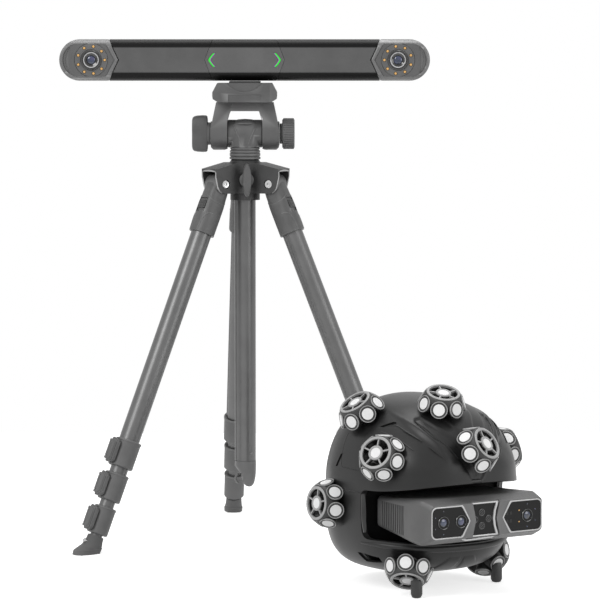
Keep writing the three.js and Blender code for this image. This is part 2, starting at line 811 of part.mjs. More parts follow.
// The platform: a chamfered block with a shallow round scoop and a bare panel on its front,
// and a channel on top for the quick plate.
function headPlatform() {
  const halfWidth = platformWidth / 2;
  const chamfer = platformChamfer;
  const front = outline([
    [-halfWidth + chamfer, platformBase], [halfWidth - chamfer, platformBase],
    [halfWidth, platformBase + chamfer], [halfWidth, platformTop - platformShoulder],
    [halfWidth - chamfer, platformTop], [-halfWidth + chamfer, platformTop],
    [-halfWidth, platformTop - platformShoulder], [-halfWidth, platformBase + chamfer],
  ]);
  const halfDepth = platformDepth / 2;
  const block = solid(frontPrism(front, -halfDepth, halfDepth, chamfer / 4));
  const scoopAxis = platformTop - platformScoopHeight + platformScoopRadius;
  const scoop = solid(rod(platformScoopRadius, halfDepth - platformScoopDepth, halfDepth + overrun)
    .rotateX(quarterTurn).translate(0, 0, scoopAxis));
  const panel = box([-platformPanelWidth / 2, -halfDepth - overrun, platformBase - overrun],
    [platformPanelWidth / 2, -halfDepth + platformScoopDepth / 2, platformBase + platformPanelHeight]);
  const floor = platformTop - quickPlateSeat - gap;
  const channel = box([-quickPlateWidth / 2 - gap, -quickPlateDepth / 2 - gap, floor],
    [quickPlateWidth / 2 + gap, quickPlateDepth / 2 + gap, platformTop + overrun]);
  return cut(block, scoop, panel, channel);
}

function quickPlate() {
  const shape = roundedRectangle(quickPlateWidth, quickPlateDepth, collarWall);
  const low = platformTop - quickPlateSeat;
  return solid(planPrism(shape, low, platformTop + quickPlateTop, collarChamfer / 2));
}

// Tracker bar

function barSection(inset) {
  return roundedRectangle(trackerDepth - 2 * inset, trackerHeight - 2 * inset, trackerCorner - inset);
}

// Front outline of the right end cap: a half round end and a point towards the middle.
function capOutline(spread) {
  const shape = new THREE.Shape();
  const radius = capRadius + spread;
  shape.moveTo(capTipX - spread, 0);
  shape.lineTo(capShoulderX - spread, -radius);
  shape.absarc(trackerHalf - capRadius, 0, radius, -quarterTurn, quarterTurn);
  shape.lineTo(capShoulderX - spread, radius);
  return shape;
}

// Front outline of the middle sleeve, with a point at each end.
function sleeveOutline(spread) {
  const tip = sleeveTip + spread;
  const half = sleeveHalfWidth + spread;
  const high = capRadius + spread;
  return outline([[tip, 0], [half, high], [-half, high], [-tip, 0], [-half, -high], [half, -high]]);
}

function trackerBar() {
  const bar = solid(sidePrism(barSection(0), -trackerHalf + capRadius, trackerHalf - capRadius));
  const zone = solid(frontPrism(sleeveOutline(gap), -trackerDepth, trackerDepth));
  const core = solid(sidePrism(barSection(sleeveThickness + gap), -trackerHalf, trackerHalf));
  const end = frontPrism(capOutline(gap), -trackerDepth, trackerDepth, 0, longArcSteps);
  return cut(bar, zone.subtract(core), solid(end), solid(end.clone().scale(-1, 1, 1)));
}

function trackerSleeve() {
  const zone = solid(frontPrism(sleeveOutline(0), -trackerDepth, trackerDepth));
  const outer = solid(sidePrism(barSection(0), -trackerHalf, trackerHalf));
  const inner = solid(sidePrism(barSection(sleeveThickness), -trackerHalf, trackerHalf));
  const half = sleeveLampHeight / 2;
  const point = sleeveLampX + sleeveLampWidth * 2;
  const chevron = outline([
    [sleeveLampX, half], [sleeveLampX - sleeveLampWidth, half], [point - sleeveLampWidth, 0],
    [sleeveLampX - sleeveLampWidth, -half], [sleeveLampX, -half], [point, 0],
  ]);
  const lamp = frontPrism(chevron, frontFace - overrun, frontFace + sleeveThickness / 2);
  return cut(outer.subtract(inner).intersect(zone), solid(lamp), solid(lamp.clone().scale(-1, 1, 1)));
}

// An end cap with a sunk face and the seat of its camera. side is 1 on the right and -1 on the left.
function trackerEndCap(side) {
  const block = solid(frontPrism(capOutline(0), frontFace, -frontFace, capEdge, longArcSteps));
  const section = solid(sidePrism(barSection(0), capTipX - overrun, trackerHalf + overrun));
  const faceShape = capOutline(-faceMargin);
  const face = solid(frontPrism(faceShape, frontFace - overrun, frontFace + faceRecess, 0, longArcSteps));
  const seat = solid(alongFront(rod(lensRingRadius + gap, -frontFace - faceRecess - lensSeat, trackerDepth))
    .translate(lensX, 0, 0));
  const body = cut(block.intersect(section), face, seat);
  return solid(toGeometry(body).scale(side, 1, 1));
}

// A camera: ring plate with nine lamps, black barrel, pale ring and domed glass. Its axis is local Z.
function trackerLens() {
  const plate = lensSeat;
  const body = solid(turned([
    [lensRingRadius, gap], [lensRingRadius, plate], [lensBarrelRadius, plate],
    [lensBarrelRadius, plate + lensHeight / 2], [lensWhiteRadius, plate + lensHeight / 2],
    [lensGlassRadius, plate], [lensGlassRadius / 2, plate + lensHeight / 5], [0, plate + lensHeight / 4],
  ]));
  const lamps = [];
  for (let i = 0; i < lampCount; i += 1) {
    const angle = (i * fullTurn) / lampCount;
    lamps.push(solid(rod(lampRadius, plate / 2, plate + lampRadius / 2, lampSides)
      .translate(lampCircleRadius * Math.cos(angle), lampCircleRadius * Math.sin(angle), 0)));
  }
  return join(body, ...lamps);
}

function addTracker(parent) {
  const tracker = new THREE.Group();
  tracker.position.z = trackerAxis;
  parent.add(tracker);
  addMesh(tracker, 'tracker_bar', trackerBar(), darkHousing);
  addMesh(tracker, 'tracker_sleeve', trackerSleeve(), casting);
  for (const [name, side] of [['left', -1], ['right', 1]]) {
    addMesh(tracker, `tracker_end_cap_${name}`, trackerEndCap(side), casting);
    const lens = addMesh(tracker, `tracker_lens_${name}`, trackerLens(), glass);
    lens.position.set(side * lensX, frontFace + faceRecess + lensSeat, 0);
    lens.rotation.set(quarterTurn, 0, side > 0 ? halfTurn : 0);
  }
}

// Hand unit

// How far the ball's skin lies from its middle in a direction: a rounded box section that is deep at the
// visor, shallower at the chin, round at the back and squarer in its lower half.
function skinReach(x, y, z) {
  const upper = THREE.MathUtils.smoothstep(z, -ballBlendShare, ballBlendShare);
  const front = THREE.MathUtils.smoothstep(-y, -ballBlendShare, ballBlendShare);
  const depth = y < 0 ? THREE.MathUtils.lerp(ballChin, ballVisor, upper) : ballRear;
  const height = z > 0 ? ballTop : ballBottom;
  const power = THREE.MathUtils.lerp(ballLowerPower, ballUpperPower, upper);
  const planPower = THREE.MathUtils.lerp(ballRearPower, ballFrontPower, front);
  const across = (Math.abs(x) / ballHalfWidth) ** planPower + (Math.abs(y) / depth) ** planPower;
  return (across ** (power / planPower) + (Math.abs(z) / height) ** power) ** (-1 / power);
}

// The ball's skin, drawn inwards by inset or outwards where inset is negative.
function ballSkin(inset) {
  const inner = inset > creaseDepth;
  const sides = inner ? ballInnerSides : ballSides;
  const sphere = new THREE.SphereGeometry(1, sides, inner ? ballInnerRings : ballRings).rotateX(quarterTurn);
  const position = sphere.attributes.position;
  const way = new THREE.Vector3();
  for (let i = 0; i < position.count; i += 1) {
    way.fromBufferAttribute(position, i).normalize();
    way.multiplyScalar(skinReach(way.x, way.y, way.z) - inset);
    position.setXYZ(i, way.x, way.y, way.z);
  }
  return sphere;
}

// The mouth seen from the side, widened by spread: a drooping upper lip, a jamb and the lower lip.
function mouthSide(spread) {
  const reach = -ballVisor - overrun;
  const back = mouthBack + spread;
  const high = mouthHigh + spread;
  const low = mouthLow - spread;
  const shape = new THREE.Shape();
  shape.moveTo(reach, lipHigh + spread);
  shape.quadraticCurveTo(mouthBend, high, mouthBack - mouthCorner, high);
  shape.quadraticCurveTo(back, high, back, mouthHigh - mouthCorner);
  shape.lineTo(back, mouthLow + mouthCorner);
  shape.quadraticCurveTo(back, low, mouthBack - mouthCorner, low);
  shape.quadraticCurveTo(mouthBend, lipLow - spread, reach, lipLow - spread);
  return shape;
}

// The whole hollow ball with its thick-rimmed mouth in front and the round opening for the hand behind.
function openBall() {
  const reach = ballVisor + overrun;
  const mouth = solid(sidePrism(mouthSide(0), -reach, reach));
  const band = solid(sidePrism(mouthSide(mouthRimWidth), -reach, reach));
  const rim = band.subtract(solid(ballSkin(mouthRimDepth)));
  const hollow = solid(ballSkin(ballWall)).subtract(rim);
  const hand = new THREE.Shape();
  hand.absellipse(0, handOpeningRise, handOpeningHalfWidth, handOpeningHalfHeight, 0, fullTurn);
  const opening = solid(frontPrism(hand, handleY, ballRear + overrun, 0, longArcSteps));
  return cut(solid(ballSkin(0)), hollow, mouth, opening);
}

// The matrix that stands a wheel at its place on the ball, turned to its facing.
function wheelMatrix(place, facing) {
  const turn = new THREE.Quaternion().setFromUnitVectors(
    new THREE.Vector3(0, 0, 1), new THREE.Vector3(...facing).normalize());
  return new THREE.Matrix4().compose(new THREE.Vector3(...place), turn, new THREE.Vector3(1, 1, 1));
}

// The room that the wheels' stems need in the raised forms of the skin.
function stemRooms() {
  return wheelPlaces.map(([place, facing]) => solid(
    rod(wheelStemRadius + gap, -wheelDepth / 2 - wheelStemReach, 0, smallSides)
      .applyMatrix4(wheelMatrix(place, facing)),
  ));
}

// The upper shell has a raised spine down its brow, a crease on each side of it that runs to the visor,
// and a wedge-shaped slot in each temple.
function shellUpper() {
  const reach = ballVisor + overrun;
  const half = openBall().intersect(box([-reach, -reach, seamHeight + gap / 2], [reach, reach, reach]));
  const band = planPrism(outline([
    [-spineHalfWidth, spineRear], [-spineTipHalfWidth, -reach], [spineTipHalfWidth, -reach],
    [spineHalfWidth, spineRear],
  ]), lipHigh + spineRise, reach);
  const raised = solid(band).intersect(solid(ballSkin(-spineRise)));
  const spine = cut(raised, solid(ballSkin(creaseDepth / 2)), ...stemRooms());
  const cutters = [];
  for (const side of [-1, 1]) {
    const crease = planPrism(outline([
      [side * creaseRearX, creaseRear], [side * (creaseRearX + creaseWidth), creaseRear],
      [side * (creaseTipX + creaseTipWidth), -reach], [side * creaseTipX, -reach],
    ]), lipHigh + spineRise, reach);
    cutters.push(solid(crease).subtract(solid(ballSkin(creaseDepth))));
    const wedge = planPrism(outline([
      [-wedgeLength / 2, wedgeWidth / 4], [-wedgeLength / 2, -wedgeWidth / 4],
      [wedgeLength / 2, -wedgeWidth / 2], [wedgeLength / 2, wedgeWidth / 2],
    ]), ballTop / 2, reach).rotateZ(-side * wedgeTurn).translate(side * wedgeX, wedgeY, 0);
    cutters.push(solid(wedge).subtract(solid(ballSkin(wedgeDepth))));
  }
  return cut(join(half, spine), ...cutters);
}

// The lower shell has a slot through each side, a rounded bumper under the mouth, a raised chin plate
// in two halves and a stout resting peg at the rear.
function shellLower() {
  const reach = ballVisor + overrun;
  const half = openBall().intersect(box([-reach, -reach, -reach], [reach, reach, seamHeight - gap / 2]));
  const slots = [];
  const chin = [];
  for (const side of [-1, 1]) {
    const edges = [side * slotInner, side * reach].sort((a, b) => a - b);
    slots.push(box([edges[0], slotFront, slotHeight - slotWidth / 2],
      [edges[1], slotFront + slotLength, slotHeight + slotWidth / 2]));
    chin.push(frontPrism(outline([
      [side * chinJoint / 2, bumperHeight], [side * chinPlateTopHalfWidth, bumperHeight],
      [side * chinPlateHalfWidth, chinPlateLow], [side * chinJoint / 2, chinPlateLow],
    ]), -reach, bumperFront));
  }
  const inside = solid(ballSkin(creaseDepth / 2));
  const plates = chin.map((plate) => solid(plate).intersect(solid(ballSkin(-chinPlateRise))));
  const bumper = box([-reach, -reach, bumperHeight - bumperWidth / 2],
    [reach, bumperFront, bumperHeight + bumperWidth / 2]).intersect(solid(ballSkin(-bumperRise)));
  const peg = solid(turned([
    [rearPegRadius * pegToeShare, -floorDrop], [rearPegRadius, -floorDrop + pegRadius], [rearPegRadius, 0],
  ], smallSides).translate(rearPegX, rearPegY, 0));
  const raised = cut(join(bumper, ...plates), inside, ...stemRooms());
  return join(cut(join(half, raised), ...slots), peg.subtract(inside));
}

// One ring of the camera module at a share of its depth: a rectangle (x, z) with cut corners.
function moduleRing([depthShare, widthShare, riseShare, dropShare]) {
  const y = THREE.MathUtils.lerp(moduleBack, moduleFront, depthShare);
  const x = (moduleWidth / 2) * widthShare;
  const high = moduleMiddle + moduleHeight * riseShare;
  const low = moduleMiddle - moduleHeight * dropShare;
  const cornerCut = moduleCorner / 2;
  return [
    [x, high - cornerCut], [x - cornerCut, high], [cornerCut - x, high], [-x, high - cornerCut],
    [-x, low + cornerCut], [cornerCut - x, low], [x - cornerCut, low], [x, low + cornerCut],
  ].map(([across, up]) => new THREE.Vector3(across, y, up));
}

// A face plate's outline (x, z): pointed towards the middle of the module, with cut outer corners.
function facePlate(side, tip) {
  const high = facePlateHalfHeight;
  return outline([
    [side * tip, 0], [side * (tip + facePlateLean), high], [side * (facePlateOuter - facePlateCorner), high],
    [side * facePlateOuter, high - facePlateCorner], [side * facePlateOuter, facePlateCorner - high],
    [side * (facePlateOuter - facePlateCorner), -high], [side * (tip + facePlateLean), -high],
  ]);
}

// The camera module: a wide box that swells to a bevelled front, with vent slots at its sides,
// two sunk glass faces, a sunk middle with four round windows, and a neck back to the handle.
function moduleBody() {
  const block = solid(loft(moduleSectionShares.map(moduleRing)));
  const neck = box([-neckHalfWidth, moduleBack - overrun, moduleMiddle - neckHalfHeight],
    [neckHalfWidth, handlePadFront - gap, moduleMiddle + neckHalfHeight]);
  const sunk = moduleFront + faceRecess;
  const plates = [facePlate(-1, leftPlateTip), facePlate(1, rightPlateTip)]
    .map((shape) => solid(frontPrism(shape, moduleFront - overrun, sunk).translate(0, 0, moduleMiddle)));
  const centre = outline([
    [middleMargin - leftPlateTip, 0], [middleMargin - leftPlateTip - facePlateLean, middleHalfHeight],
    [rightPlateTip + facePlateLean - middleMargin, middleHalfHeight], [rightPlateTip - middleMargin, 0],
    [rightPlateTip + facePlateLean - middleMargin, -middleHalfHeight],
    [middleMargin - leftPlateTip - facePlateLean, -middleHalfHeight],
  ]);
  const floorY = moduleFront + middleRecess;
  const recess = solid(frontPrism(centre, moduleFront - overrun, floorY).translate(0, 0, moduleMiddle));
  const windows = [[-1, 0], [0, 1], [0, -1], [1, 0]].map(([across, up]) => solid(
    alongFront(rod(windowRadius, -floorY - windowDepth, -floorY + windowDepth, smallSides))
      .translate(windowX + across * windowPitch, 0, moduleMiddle + up * windowRise),
  ));
  const seats = moduleLensX.map((x) => solid(alongFront(
    rod(moduleLensRadius + gap, -moduleFront - moduleLensSeat, -moduleFront + overrun),
  ).translate(x, 0, moduleMiddle)));
  const vents = [];
  for (let i = 0; i < ventCount; i += 1) {
    const y = ventFront + i * ventPitch;
    for (const side of [-1, 1]) {
      const edges = [side * (facePlateOuter + ventDepth), side * moduleWidth].sort((a, b) => a - b);
      vents.push(box([edges[0], y, moduleMiddle - ventHeight / 2],
        [edges[1], y + ventPitch / 2, moduleMiddle + ventHeight / 2]));
    }
  }
  return cut(join(block, neck), ...plates, recess, ...windows, ...seats, ...vents);
}

// A module lens: barrel and domed glass. Its axis is local Z, the seat at zero.
function moduleLens() {
  return solid(turned([
    [moduleLensRadius, gap], [moduleLensRadius, moduleLensSeat + moduleLensRim],
    [moduleGlassRadius, moduleLensSeat + moduleLensRim], [moduleGlassRadius, moduleLensSeat - moduleLensRim],
    [0, moduleLensSeat],
  ], smallSides + arcSteps));
}

// The handle stands inside the ball from the lower shell to the upper one, and the neck meets its pad.
function handle() {
  const rise = ballTop;
  const drop = -ballBottom;
  const grip = loft([
    sectionRing(handleFlange, handleFlange, drop),
    sectionRing(handleFlange, handleFlange, drop + handleFlange),
    sectionRing(handleHalfWidth, handleHalfDepth, drop + 2 * handleFlange),
    sectionRing(handleHalfWidth * handleWaistShare, handleHalfDepth * handleWaistShare, 0),
    sectionRing(handleHalfWidth, handleHalfDepth, rise - 2 * handleFlange),
    sectionRing(handleFlange, handleFlange, rise - handleFlange),
    sectionRing(handleFlange, handleFlange, rise),
  ]).translate(0, handleY, 0);
  const pad = box([-handleHalfWidth + gap, handlePadFront, moduleMiddle - neckHalfHeight],
    [handleHalfWidth - gap, handleY, moduleMiddle + neckHalfHeight]);
  const well = box(
    [-triggerWidth / 2 - gap, handlePadFront - overrun, triggerRise - triggerHeight / 2 - gap],
    [triggerWidth / 2 + gap, handlePadFront + triggerWell, triggerRise + triggerHeight / 2 + gap],
  );
  const inside = solid(ballSkin(ballWall + gap));
  return cut(join(solid(grip), pad).intersect(inside), well);
}

function triggerButton() {
  const shape = roundedRectangle(triggerWidth, triggerHeight, triggerWidth / 4);
  const back = handlePadFront + triggerWell - triggerTravel - gap;
  const body = frontPrism(shape, handlePadFront - triggerProud, back, triggerEdge);
  return solid(body.translate(0, 0, triggerRise));
}

// A marker wheel: a hollow drum with a spoked face and seven round marker seats that lean outwards.
// Its axis is local Z, its middle at the origin.
function markerWheel() {
  const half = wheelDepth / 2;
  const seatPitch = fullTurn / wheelSeats;
  const drum = solid(turned([
    [wheelStemRadius, -half + wheelRimHeight], [wheelWaist, -half + 2 * wheelRimHeight],
    [wheelFaceRadius, half],
  ], wheelSeats).rotateZ(seatPitch / 4));
  const seats = [];
  for (let i = 0; i < wheelSeats; i += 1) {
    seats.push(solid(rod(wheelSeatRadius, -wheelSeatThickness, 0, wheelSeatSides)
      .rotateY(wheelSeatLean).translate(wheelSeatCircle, 0, 0).rotateZ(i * seatPitch)));
  }
  const windows = [];
  for (let i = 0; i < wheelSpokes; i += 1) {
    const share = fullTurn / wheelSpokes;
    const outerHalf = share / 2 - wheelSpokeWidth / (2 * wheelWindowOuter);
    const innerHalf = share / 2 - wheelSpokeWidth / (2 * wheelHubRadius);
    const shape = new THREE.Shape();
    shape.absarc(0, 0, wheelWindowOuter, -outerHalf, outerHalf);
    shape.absarc(0, 0, wheelHubRadius, innerHalf, -innerHalf, true);
    const plain = { depth: wheelDepth, bevelEnabled: false, curveSegments: 1 };
    const prism = new THREE.ExtrudeGeometry(shape, plain);
    windows.push(solid(prism.translate(0, 0, half - wheelWindowDepth).rotateZ(i * share)));
  }
  return cut(join(drum, ...seats), ...windows);
}

// Puts a wheel on the ball with a stem cut to the ball's skin, and stands its pegs on the ground.
function addWheel(parent, name, place, facing, pegs) {
  const toHand = wheelMatrix(place, facing);
  const toWheel = toHand.clone().invert();
  const stem = solid(rod(wheelStemRadius, -wheelDepth / 2 - wheelStemReach, -wheelDepth / 4, smallSides));
  const skin = solid(ballSkin(-gap).applyMatrix4(toWheel));
  const feet = pegs.map(([x, y]) => solid(turned([
    [pegRadius * pegToeShare, -floorDrop], [pegRadius, -floorDrop + pegRadius],
    [pegRadius, place[2] + wheelDepth / 2],
  ], smallSides).translate(x, y, 0).applyMatrix4(toWheel)));
  const wheel = addMesh(parent, name, cut(join(markerWheel(), stem, ...feet), skin), marker);
  wheel.position.set(...place);
  wheel.quaternion.setFromRotationMatrix(toHand);
}

function addHandUnit(parent) {
  const hand = new THREE.Group();
  hand.position.set(handX, handY, floorDrop);
  hand.rotation.z = handYaw;
  parent.add(hand);
  addMesh(hand, 'shell_upper', shellUpper(), darkHousing);
  addMesh(hand, 'shell_lower', shellLower(), darkHousing);
  addMesh(hand, 'module_body', moduleBody(), casting);
  moduleLensX.forEach((x, index) => {
    const lens = addMesh(hand, `module_lens_${index + 1}`, moduleLens(), glass);
    lens.position.set(x, moduleFront + moduleLensSeat, moduleMiddle);
    lens.rotation.x = quarterTurn;
  });
  addMesh(hand, 'handle', handle(), rubber);
  addMesh(hand, 'trigger_button', triggerButton(), marker);
  markJoint(hand, 'trigger_press', [0, handlePadFront, triggerRise], [0, 1, 0]);
  wheelPlaces.forEach(([place, facing, pegs], index) => {
    addWheel(hand, `marker_wheel_${index + 1}`, place, facing, pegs);
  });
}

// Assembly
const set = new THREE.Group();
for (let number = 1; number <= legCount; number += 1) addLeg(set, number);
addMesh(set, 'apex_casting', apexCasting(), casting).position.z = pivotHeight;
addMesh(set, 'centre_column', centreColumn(), aluminium);
addMesh(set, 'column_hook', columnHook(), casting);
const columnKnob = addMesh(set, 'column_lock_knob', columnLockKnob(), casting);
columnKnob.position.set(
  columnKnobBase * Math.cos(columnKnobAzimuth),
  columnKnobBase * Math.sin(columnKnobAzimuth),
  pivotHeight + columnKnobRise,
);
columnKnob.rotation.set(0, quarterTurn, 0);
columnKnob.rotation.order = 'ZYX';
columnKnob.rotation.z = columnKnobAzimuth;
markJoint(set, 'column_knob_turn', columnKnob.position.toArray(),
  [Math.cos(columnKnobAzimuth), Math.sin(columnKnobAzimuth), 0]);
markJoint(set, 'column_lift', [0, 0, apexTop], [0, 0, 1]);
addMesh(set, 'pan_base', panBase(), casting);
addMesh(set, 'head_drum', headDrum(), casting);
addMesh(set, 'head_yoke', headYoke(), casting);
const lockKnob = addMesh(set, 'tilt_lock_knob', tiltLockKnob(), rubber);
lockKnob.position.set(-armOuter - gap, 0, tiltAxisHeight);
lockKnob.rotation.z = halfTurn;
const dragKnob = addMesh(set, 'tilt_drag_knob', tiltDragKnob(), rubber);
dragKnob.position.set(armOuter + gap, 0, tiltAxisHeight);
markJoint(set, 'pan', [0, 0, flangeTop], [0, 0, 1]);
markJoint(set, 'tilt', [0, 0, tiltAxisHeight], [1, 0, 0]);
markJoint(set, 'tilt_lock_turn', [-armOuter, 0, tiltAxisHeight], [1, 0, 0]);
markJoint(set, 'tilt_drag_turn', [armOuter, 0, tiltAxisHeight], [1, 0, 0]);
addMesh(set, 'head_platform', headPlatform(), casting);
addMesh(set, 'quick_plate', quickPlate(), rubber);
addTracker(set);
addHandUnit(set);

// The origin is the middle of the footprint, on the ground.
const scannerSet = new THREE.Group();
scannerSet.add(set);
set.updateMatrixWorld(true);
const bounds = new THREE.Box3().setFromObject(set, true);
const centre = bounds.getCenter(new THREE.Vector3());
set.position.set(-centre.x, -centre.y, -bounds.min.z);

export default scannerSet;
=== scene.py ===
import math

import bmesh
import bpy
from mathutils import Matrix, Vector


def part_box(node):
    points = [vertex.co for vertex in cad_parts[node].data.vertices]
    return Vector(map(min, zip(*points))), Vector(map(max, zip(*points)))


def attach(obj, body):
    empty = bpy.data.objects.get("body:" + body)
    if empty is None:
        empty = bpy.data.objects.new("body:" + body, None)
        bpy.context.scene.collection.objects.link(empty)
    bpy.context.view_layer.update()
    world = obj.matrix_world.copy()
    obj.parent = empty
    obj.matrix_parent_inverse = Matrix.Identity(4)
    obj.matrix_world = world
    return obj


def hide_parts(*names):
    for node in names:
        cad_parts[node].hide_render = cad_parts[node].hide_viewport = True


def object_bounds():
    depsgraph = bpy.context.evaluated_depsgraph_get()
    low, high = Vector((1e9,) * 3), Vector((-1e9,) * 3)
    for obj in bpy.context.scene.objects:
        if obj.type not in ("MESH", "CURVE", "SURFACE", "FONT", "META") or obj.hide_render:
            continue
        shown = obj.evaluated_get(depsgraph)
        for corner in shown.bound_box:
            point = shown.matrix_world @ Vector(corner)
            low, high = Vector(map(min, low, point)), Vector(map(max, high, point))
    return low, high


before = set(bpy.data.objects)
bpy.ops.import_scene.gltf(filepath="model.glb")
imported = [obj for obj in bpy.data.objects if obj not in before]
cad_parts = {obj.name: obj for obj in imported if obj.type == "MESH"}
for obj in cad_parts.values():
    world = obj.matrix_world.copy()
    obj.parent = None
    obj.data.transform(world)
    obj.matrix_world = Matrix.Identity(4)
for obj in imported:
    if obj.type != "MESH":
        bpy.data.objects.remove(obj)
cad_low, cad_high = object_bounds()

# The camera stands 4.5 m in front of the set, level with the bar, and looks slightly down with a long
# lens, as the photograph's does. The column's middle gives the set's place in the frame.
column_low, column_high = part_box("centre_column")
column_x = (column_low.x + column_high.x) / 2
column_y = (column_low.y + column_high.y) / 2
camera_data = bpy.data.cameras.new("camera")
camera_data.sensor_width = 36
camera_data.lens = 189
camera_data.clip_end = 60
camera = bpy.data.objects.new("camera", camera_data)
camera.location = (column_x + 0.078, column_y - 4.473, 0.682)
camera.rotation_euler = (math.radians(90 - 4.36), 0, 0)
bpy.context.collection.objects.link(camera)
bpy.context.scene.camera = camera
bpy.context.scene.view_settings.view_transform = "Standard"


# The studio: a pale floor that shows white to the camera and keeps the set's shadow, a white surround,
# and three soft lamps, the key high on the left.
def add_node(tree, kind, inputs, **options):
    """A new node, or the named one that is there: each input is a value to set or a socket to link."""
    node = tree.nodes[kind] if kind in tree.nodes else tree.nodes.new(kind)
    for option, value in options.items():
        setattr(node, option, value)
    for name, value in inputs.items():
        if isinstance(value, bpy.types.NodeSocket):
            tree.links.new(value, node.inputs[name])
        else:
            node.inputs[name].default_value = value
    return node


def surfaced(name, inputs):
    """A new material whose shader has these inputs."""
    material = bpy.data.materials.new(name)
    material.use_nodes = True
    add_node(material.node_tree, "Principled BSDF", inputs)
    return material


def backdrop_share(tree):
    """A node socket that is 1 for rays from the camera, from gloss and through glass."""
    path = tree.nodes.new("ShaderNodeLightPath").outputs
    seen = path["Is Camera Ray"]
    for other in ("Is Glossy Ray", "Is Transmission Ray"):
        seen = add_node(tree, "ShaderNodeMath", {0: seen, 1: path[other]}, operation="MAXIMUM").outputs[0]
    return seen


world = bpy.data.worlds.new("studio")
world.use_nodes = True
bpy.context.scene.world = world
sky = world.node_tree
white = (1, 1, 1, 1)
strength = add_node(sky, "ShaderNodeMapRange", {"To Min": 0.4, "To Max": 1.0, "Value": backdrop_share(sky)})
add_node(sky, "Background", {"Color": white, "Strength": strength.outputs["Result"]})

floor_half = 1.4
corners = [(-floor_half, -floor_half, 0), (floor_half, -floor_half, 0), (floor_half, floor_half, 0),
           (-floor_half, floor_half, 0)]
floor = bpy.data.objects.new("floor", bpy.data.meshes.new("floor"))
floor.data.from_pydata(corners, [], [(0, 1, 2, 3)])
floor.location.z = cad_low.z
bpy.context.collection.objects.link(floor)
floor_paint = surfaced("pale floor", {"Base Color": (0.78, 0.78, 0.78, 1), "Roughness": 0.9,
                                      "Specular IOR Level": 0, "Emission Color": white})
floor_tree = floor_paint.node_tree
glow = add_node(floor_tree, "ShaderNodeMath", {0: backdrop_share(floor_tree), 1: 0.7}, operation="MULTIPLY")
add_node(floor_tree, "Principled BSDF", {"Emission Strength": glow.outputs[0]})
floor.data.materials.append(floor_paint)


def soft_lamp(name, place, aim, size, power):
    """A square soft light that looks from its place at the point it is aimed at."""
    data = bpy.data.lights.new(name, "AREA")
    data.size = size
    data.energy = power
    lamp = bpy.data.objects.new(name, data)
    lamp.location = place
    lamp.rotation_euler = (Vector(aim) - Vector(place)).to_track_quat("-Z", "Y").to_euler()
    bpy.context.collection.objects.link(lamp)


soft_lamp("key_lamp", (-2.2, -2.4, 2.6), (0, 0, 0.4), 1.6, 62)
soft_lamp("fill_lamp", (2.8, -1.8, 1.2), (0, 0, 0.4), 1.8, 30)
soft_lamp("top_lamp", (0.2, 0.6, 3.2), (0, 0, 0.3), 1.8, 38)


# Leg tubes: four drawn aluminium tubes a leg, satin anodised, each sliding in the next larger one.
# A shallow groove down each side keeps a tube from turning. Sizes are in millimetres down the leg.
def piece_from(points, faces):
    """A piece whose closed skin has no doubled points and faces outwards."""
    mesh = bpy.data.meshes.new("part")
    mesh.from_pydata([tuple(point) for point in points], [], faces)
    work = bmesh.new()
    work.from_mesh(mesh)
    bmesh.ops.remove_doubles(work, verts=work.verts, dist=1e-4)
    bmesh.ops.recalc_face_normals(work, faces=work.faces)
    work.to_mesh(mesh)
    work.free()
    piece = bpy.data.objects.new("part", mesh)
    bpy.context.collection.objects.link(piece)
    return piece


def keep_shape(piece):
    """Makes what the modifiers show the piece's own mesh."""
    graph = bpy.context.evaluated_depsgraph_get()
    mesh = bpy.data.meshes.new_from_object(piece.evaluated_get(graph))
    piece.modifiers.clear()
    piece.data = mesh
    return piece


def rounded(piece, width, segments=2, degrees=30):
    """Rounds the edges that are sharper than the angle."""
    bevel = piece.modifiers.new("edges", "BEVEL")
    bevel.width = width
    bevel.segments = segments
    bevel.limit_method = "ANGLE"
    bevel.angle_limit = math.radians(degrees)
    return keep_shape(piece)


def lofted(rings):
    """A skin over rings of equally many points, closed by a flat face at each end."""
    count = len(rings[0])
    points = [point for ring in rings for point in ring]
    faces = [list(range(count)), list(range(len(points) - count, len(points)))]
    for start in range(0, len(points) - count, count):
        for i in range(count):
            a, b = start + i, start + (i + 1) % count
            faces.append([a, b, b + count, a + count])
    return piece_from(points, faces)


def prism(outline, low, high, plane="plan"):
    """A plan outline (x, y) rises along Z, a front one (x, z) runs along Y, a side one (y, z) along X."""
    order = {"plan": (0, 1, 2), "front": (0, 2, 1), "side": (2, 0, 1)}[plane]
    return lofted([[[(a, b, end)[k] for k in order] for a, b in outline] for end in (low, high)])


def oblong(left, right, low, high):
    """A rectangle's outline."""
    return [(left, low), (right, low), (right, high), (left, high)]


def block(left, right, low, high, start, end, plane="plan"):
    """A prism over a rectangle."""
    return prism(oblong(left, right, low, high), start, end, plane)


def turned(profile, sides=64, hoop=False):
    """A revolved piece about Z from (radius, height) pairs; a hoop's profile is a loop, and the open
    ends of any other one are closed on the axis."""
    points = []
    rings = []
    for radius, height in profile:
        if radius == 0:
            rings.append([len(points)] * sides)
            points.append((0, 0, height))
            continue
        rings.append([len(points) + i for i in range(sides)])
        points += [(x, y, height) for x, y in circle(radius, sides)]
    faces = []
    for near, far in zip(rings, rings[1:] + (rings[:1] if hoop else [])):
        for i in range(sides):
            j = (i + 1) % sides
            corners = list(dict.fromkeys([near[i], near[j], far[j], far[i]]))
            if len(corners) > 2:
                faces.append(corners)
    for ring in (rings[0], rings[-1]):
        if not hoop and len(set(ring)) > 1:
            faces.append(ring)
    return piece_from(points, faces)


def rod(radius, low, high, sides=64):
    return turned([(radius, low), (radius, high)], sides)


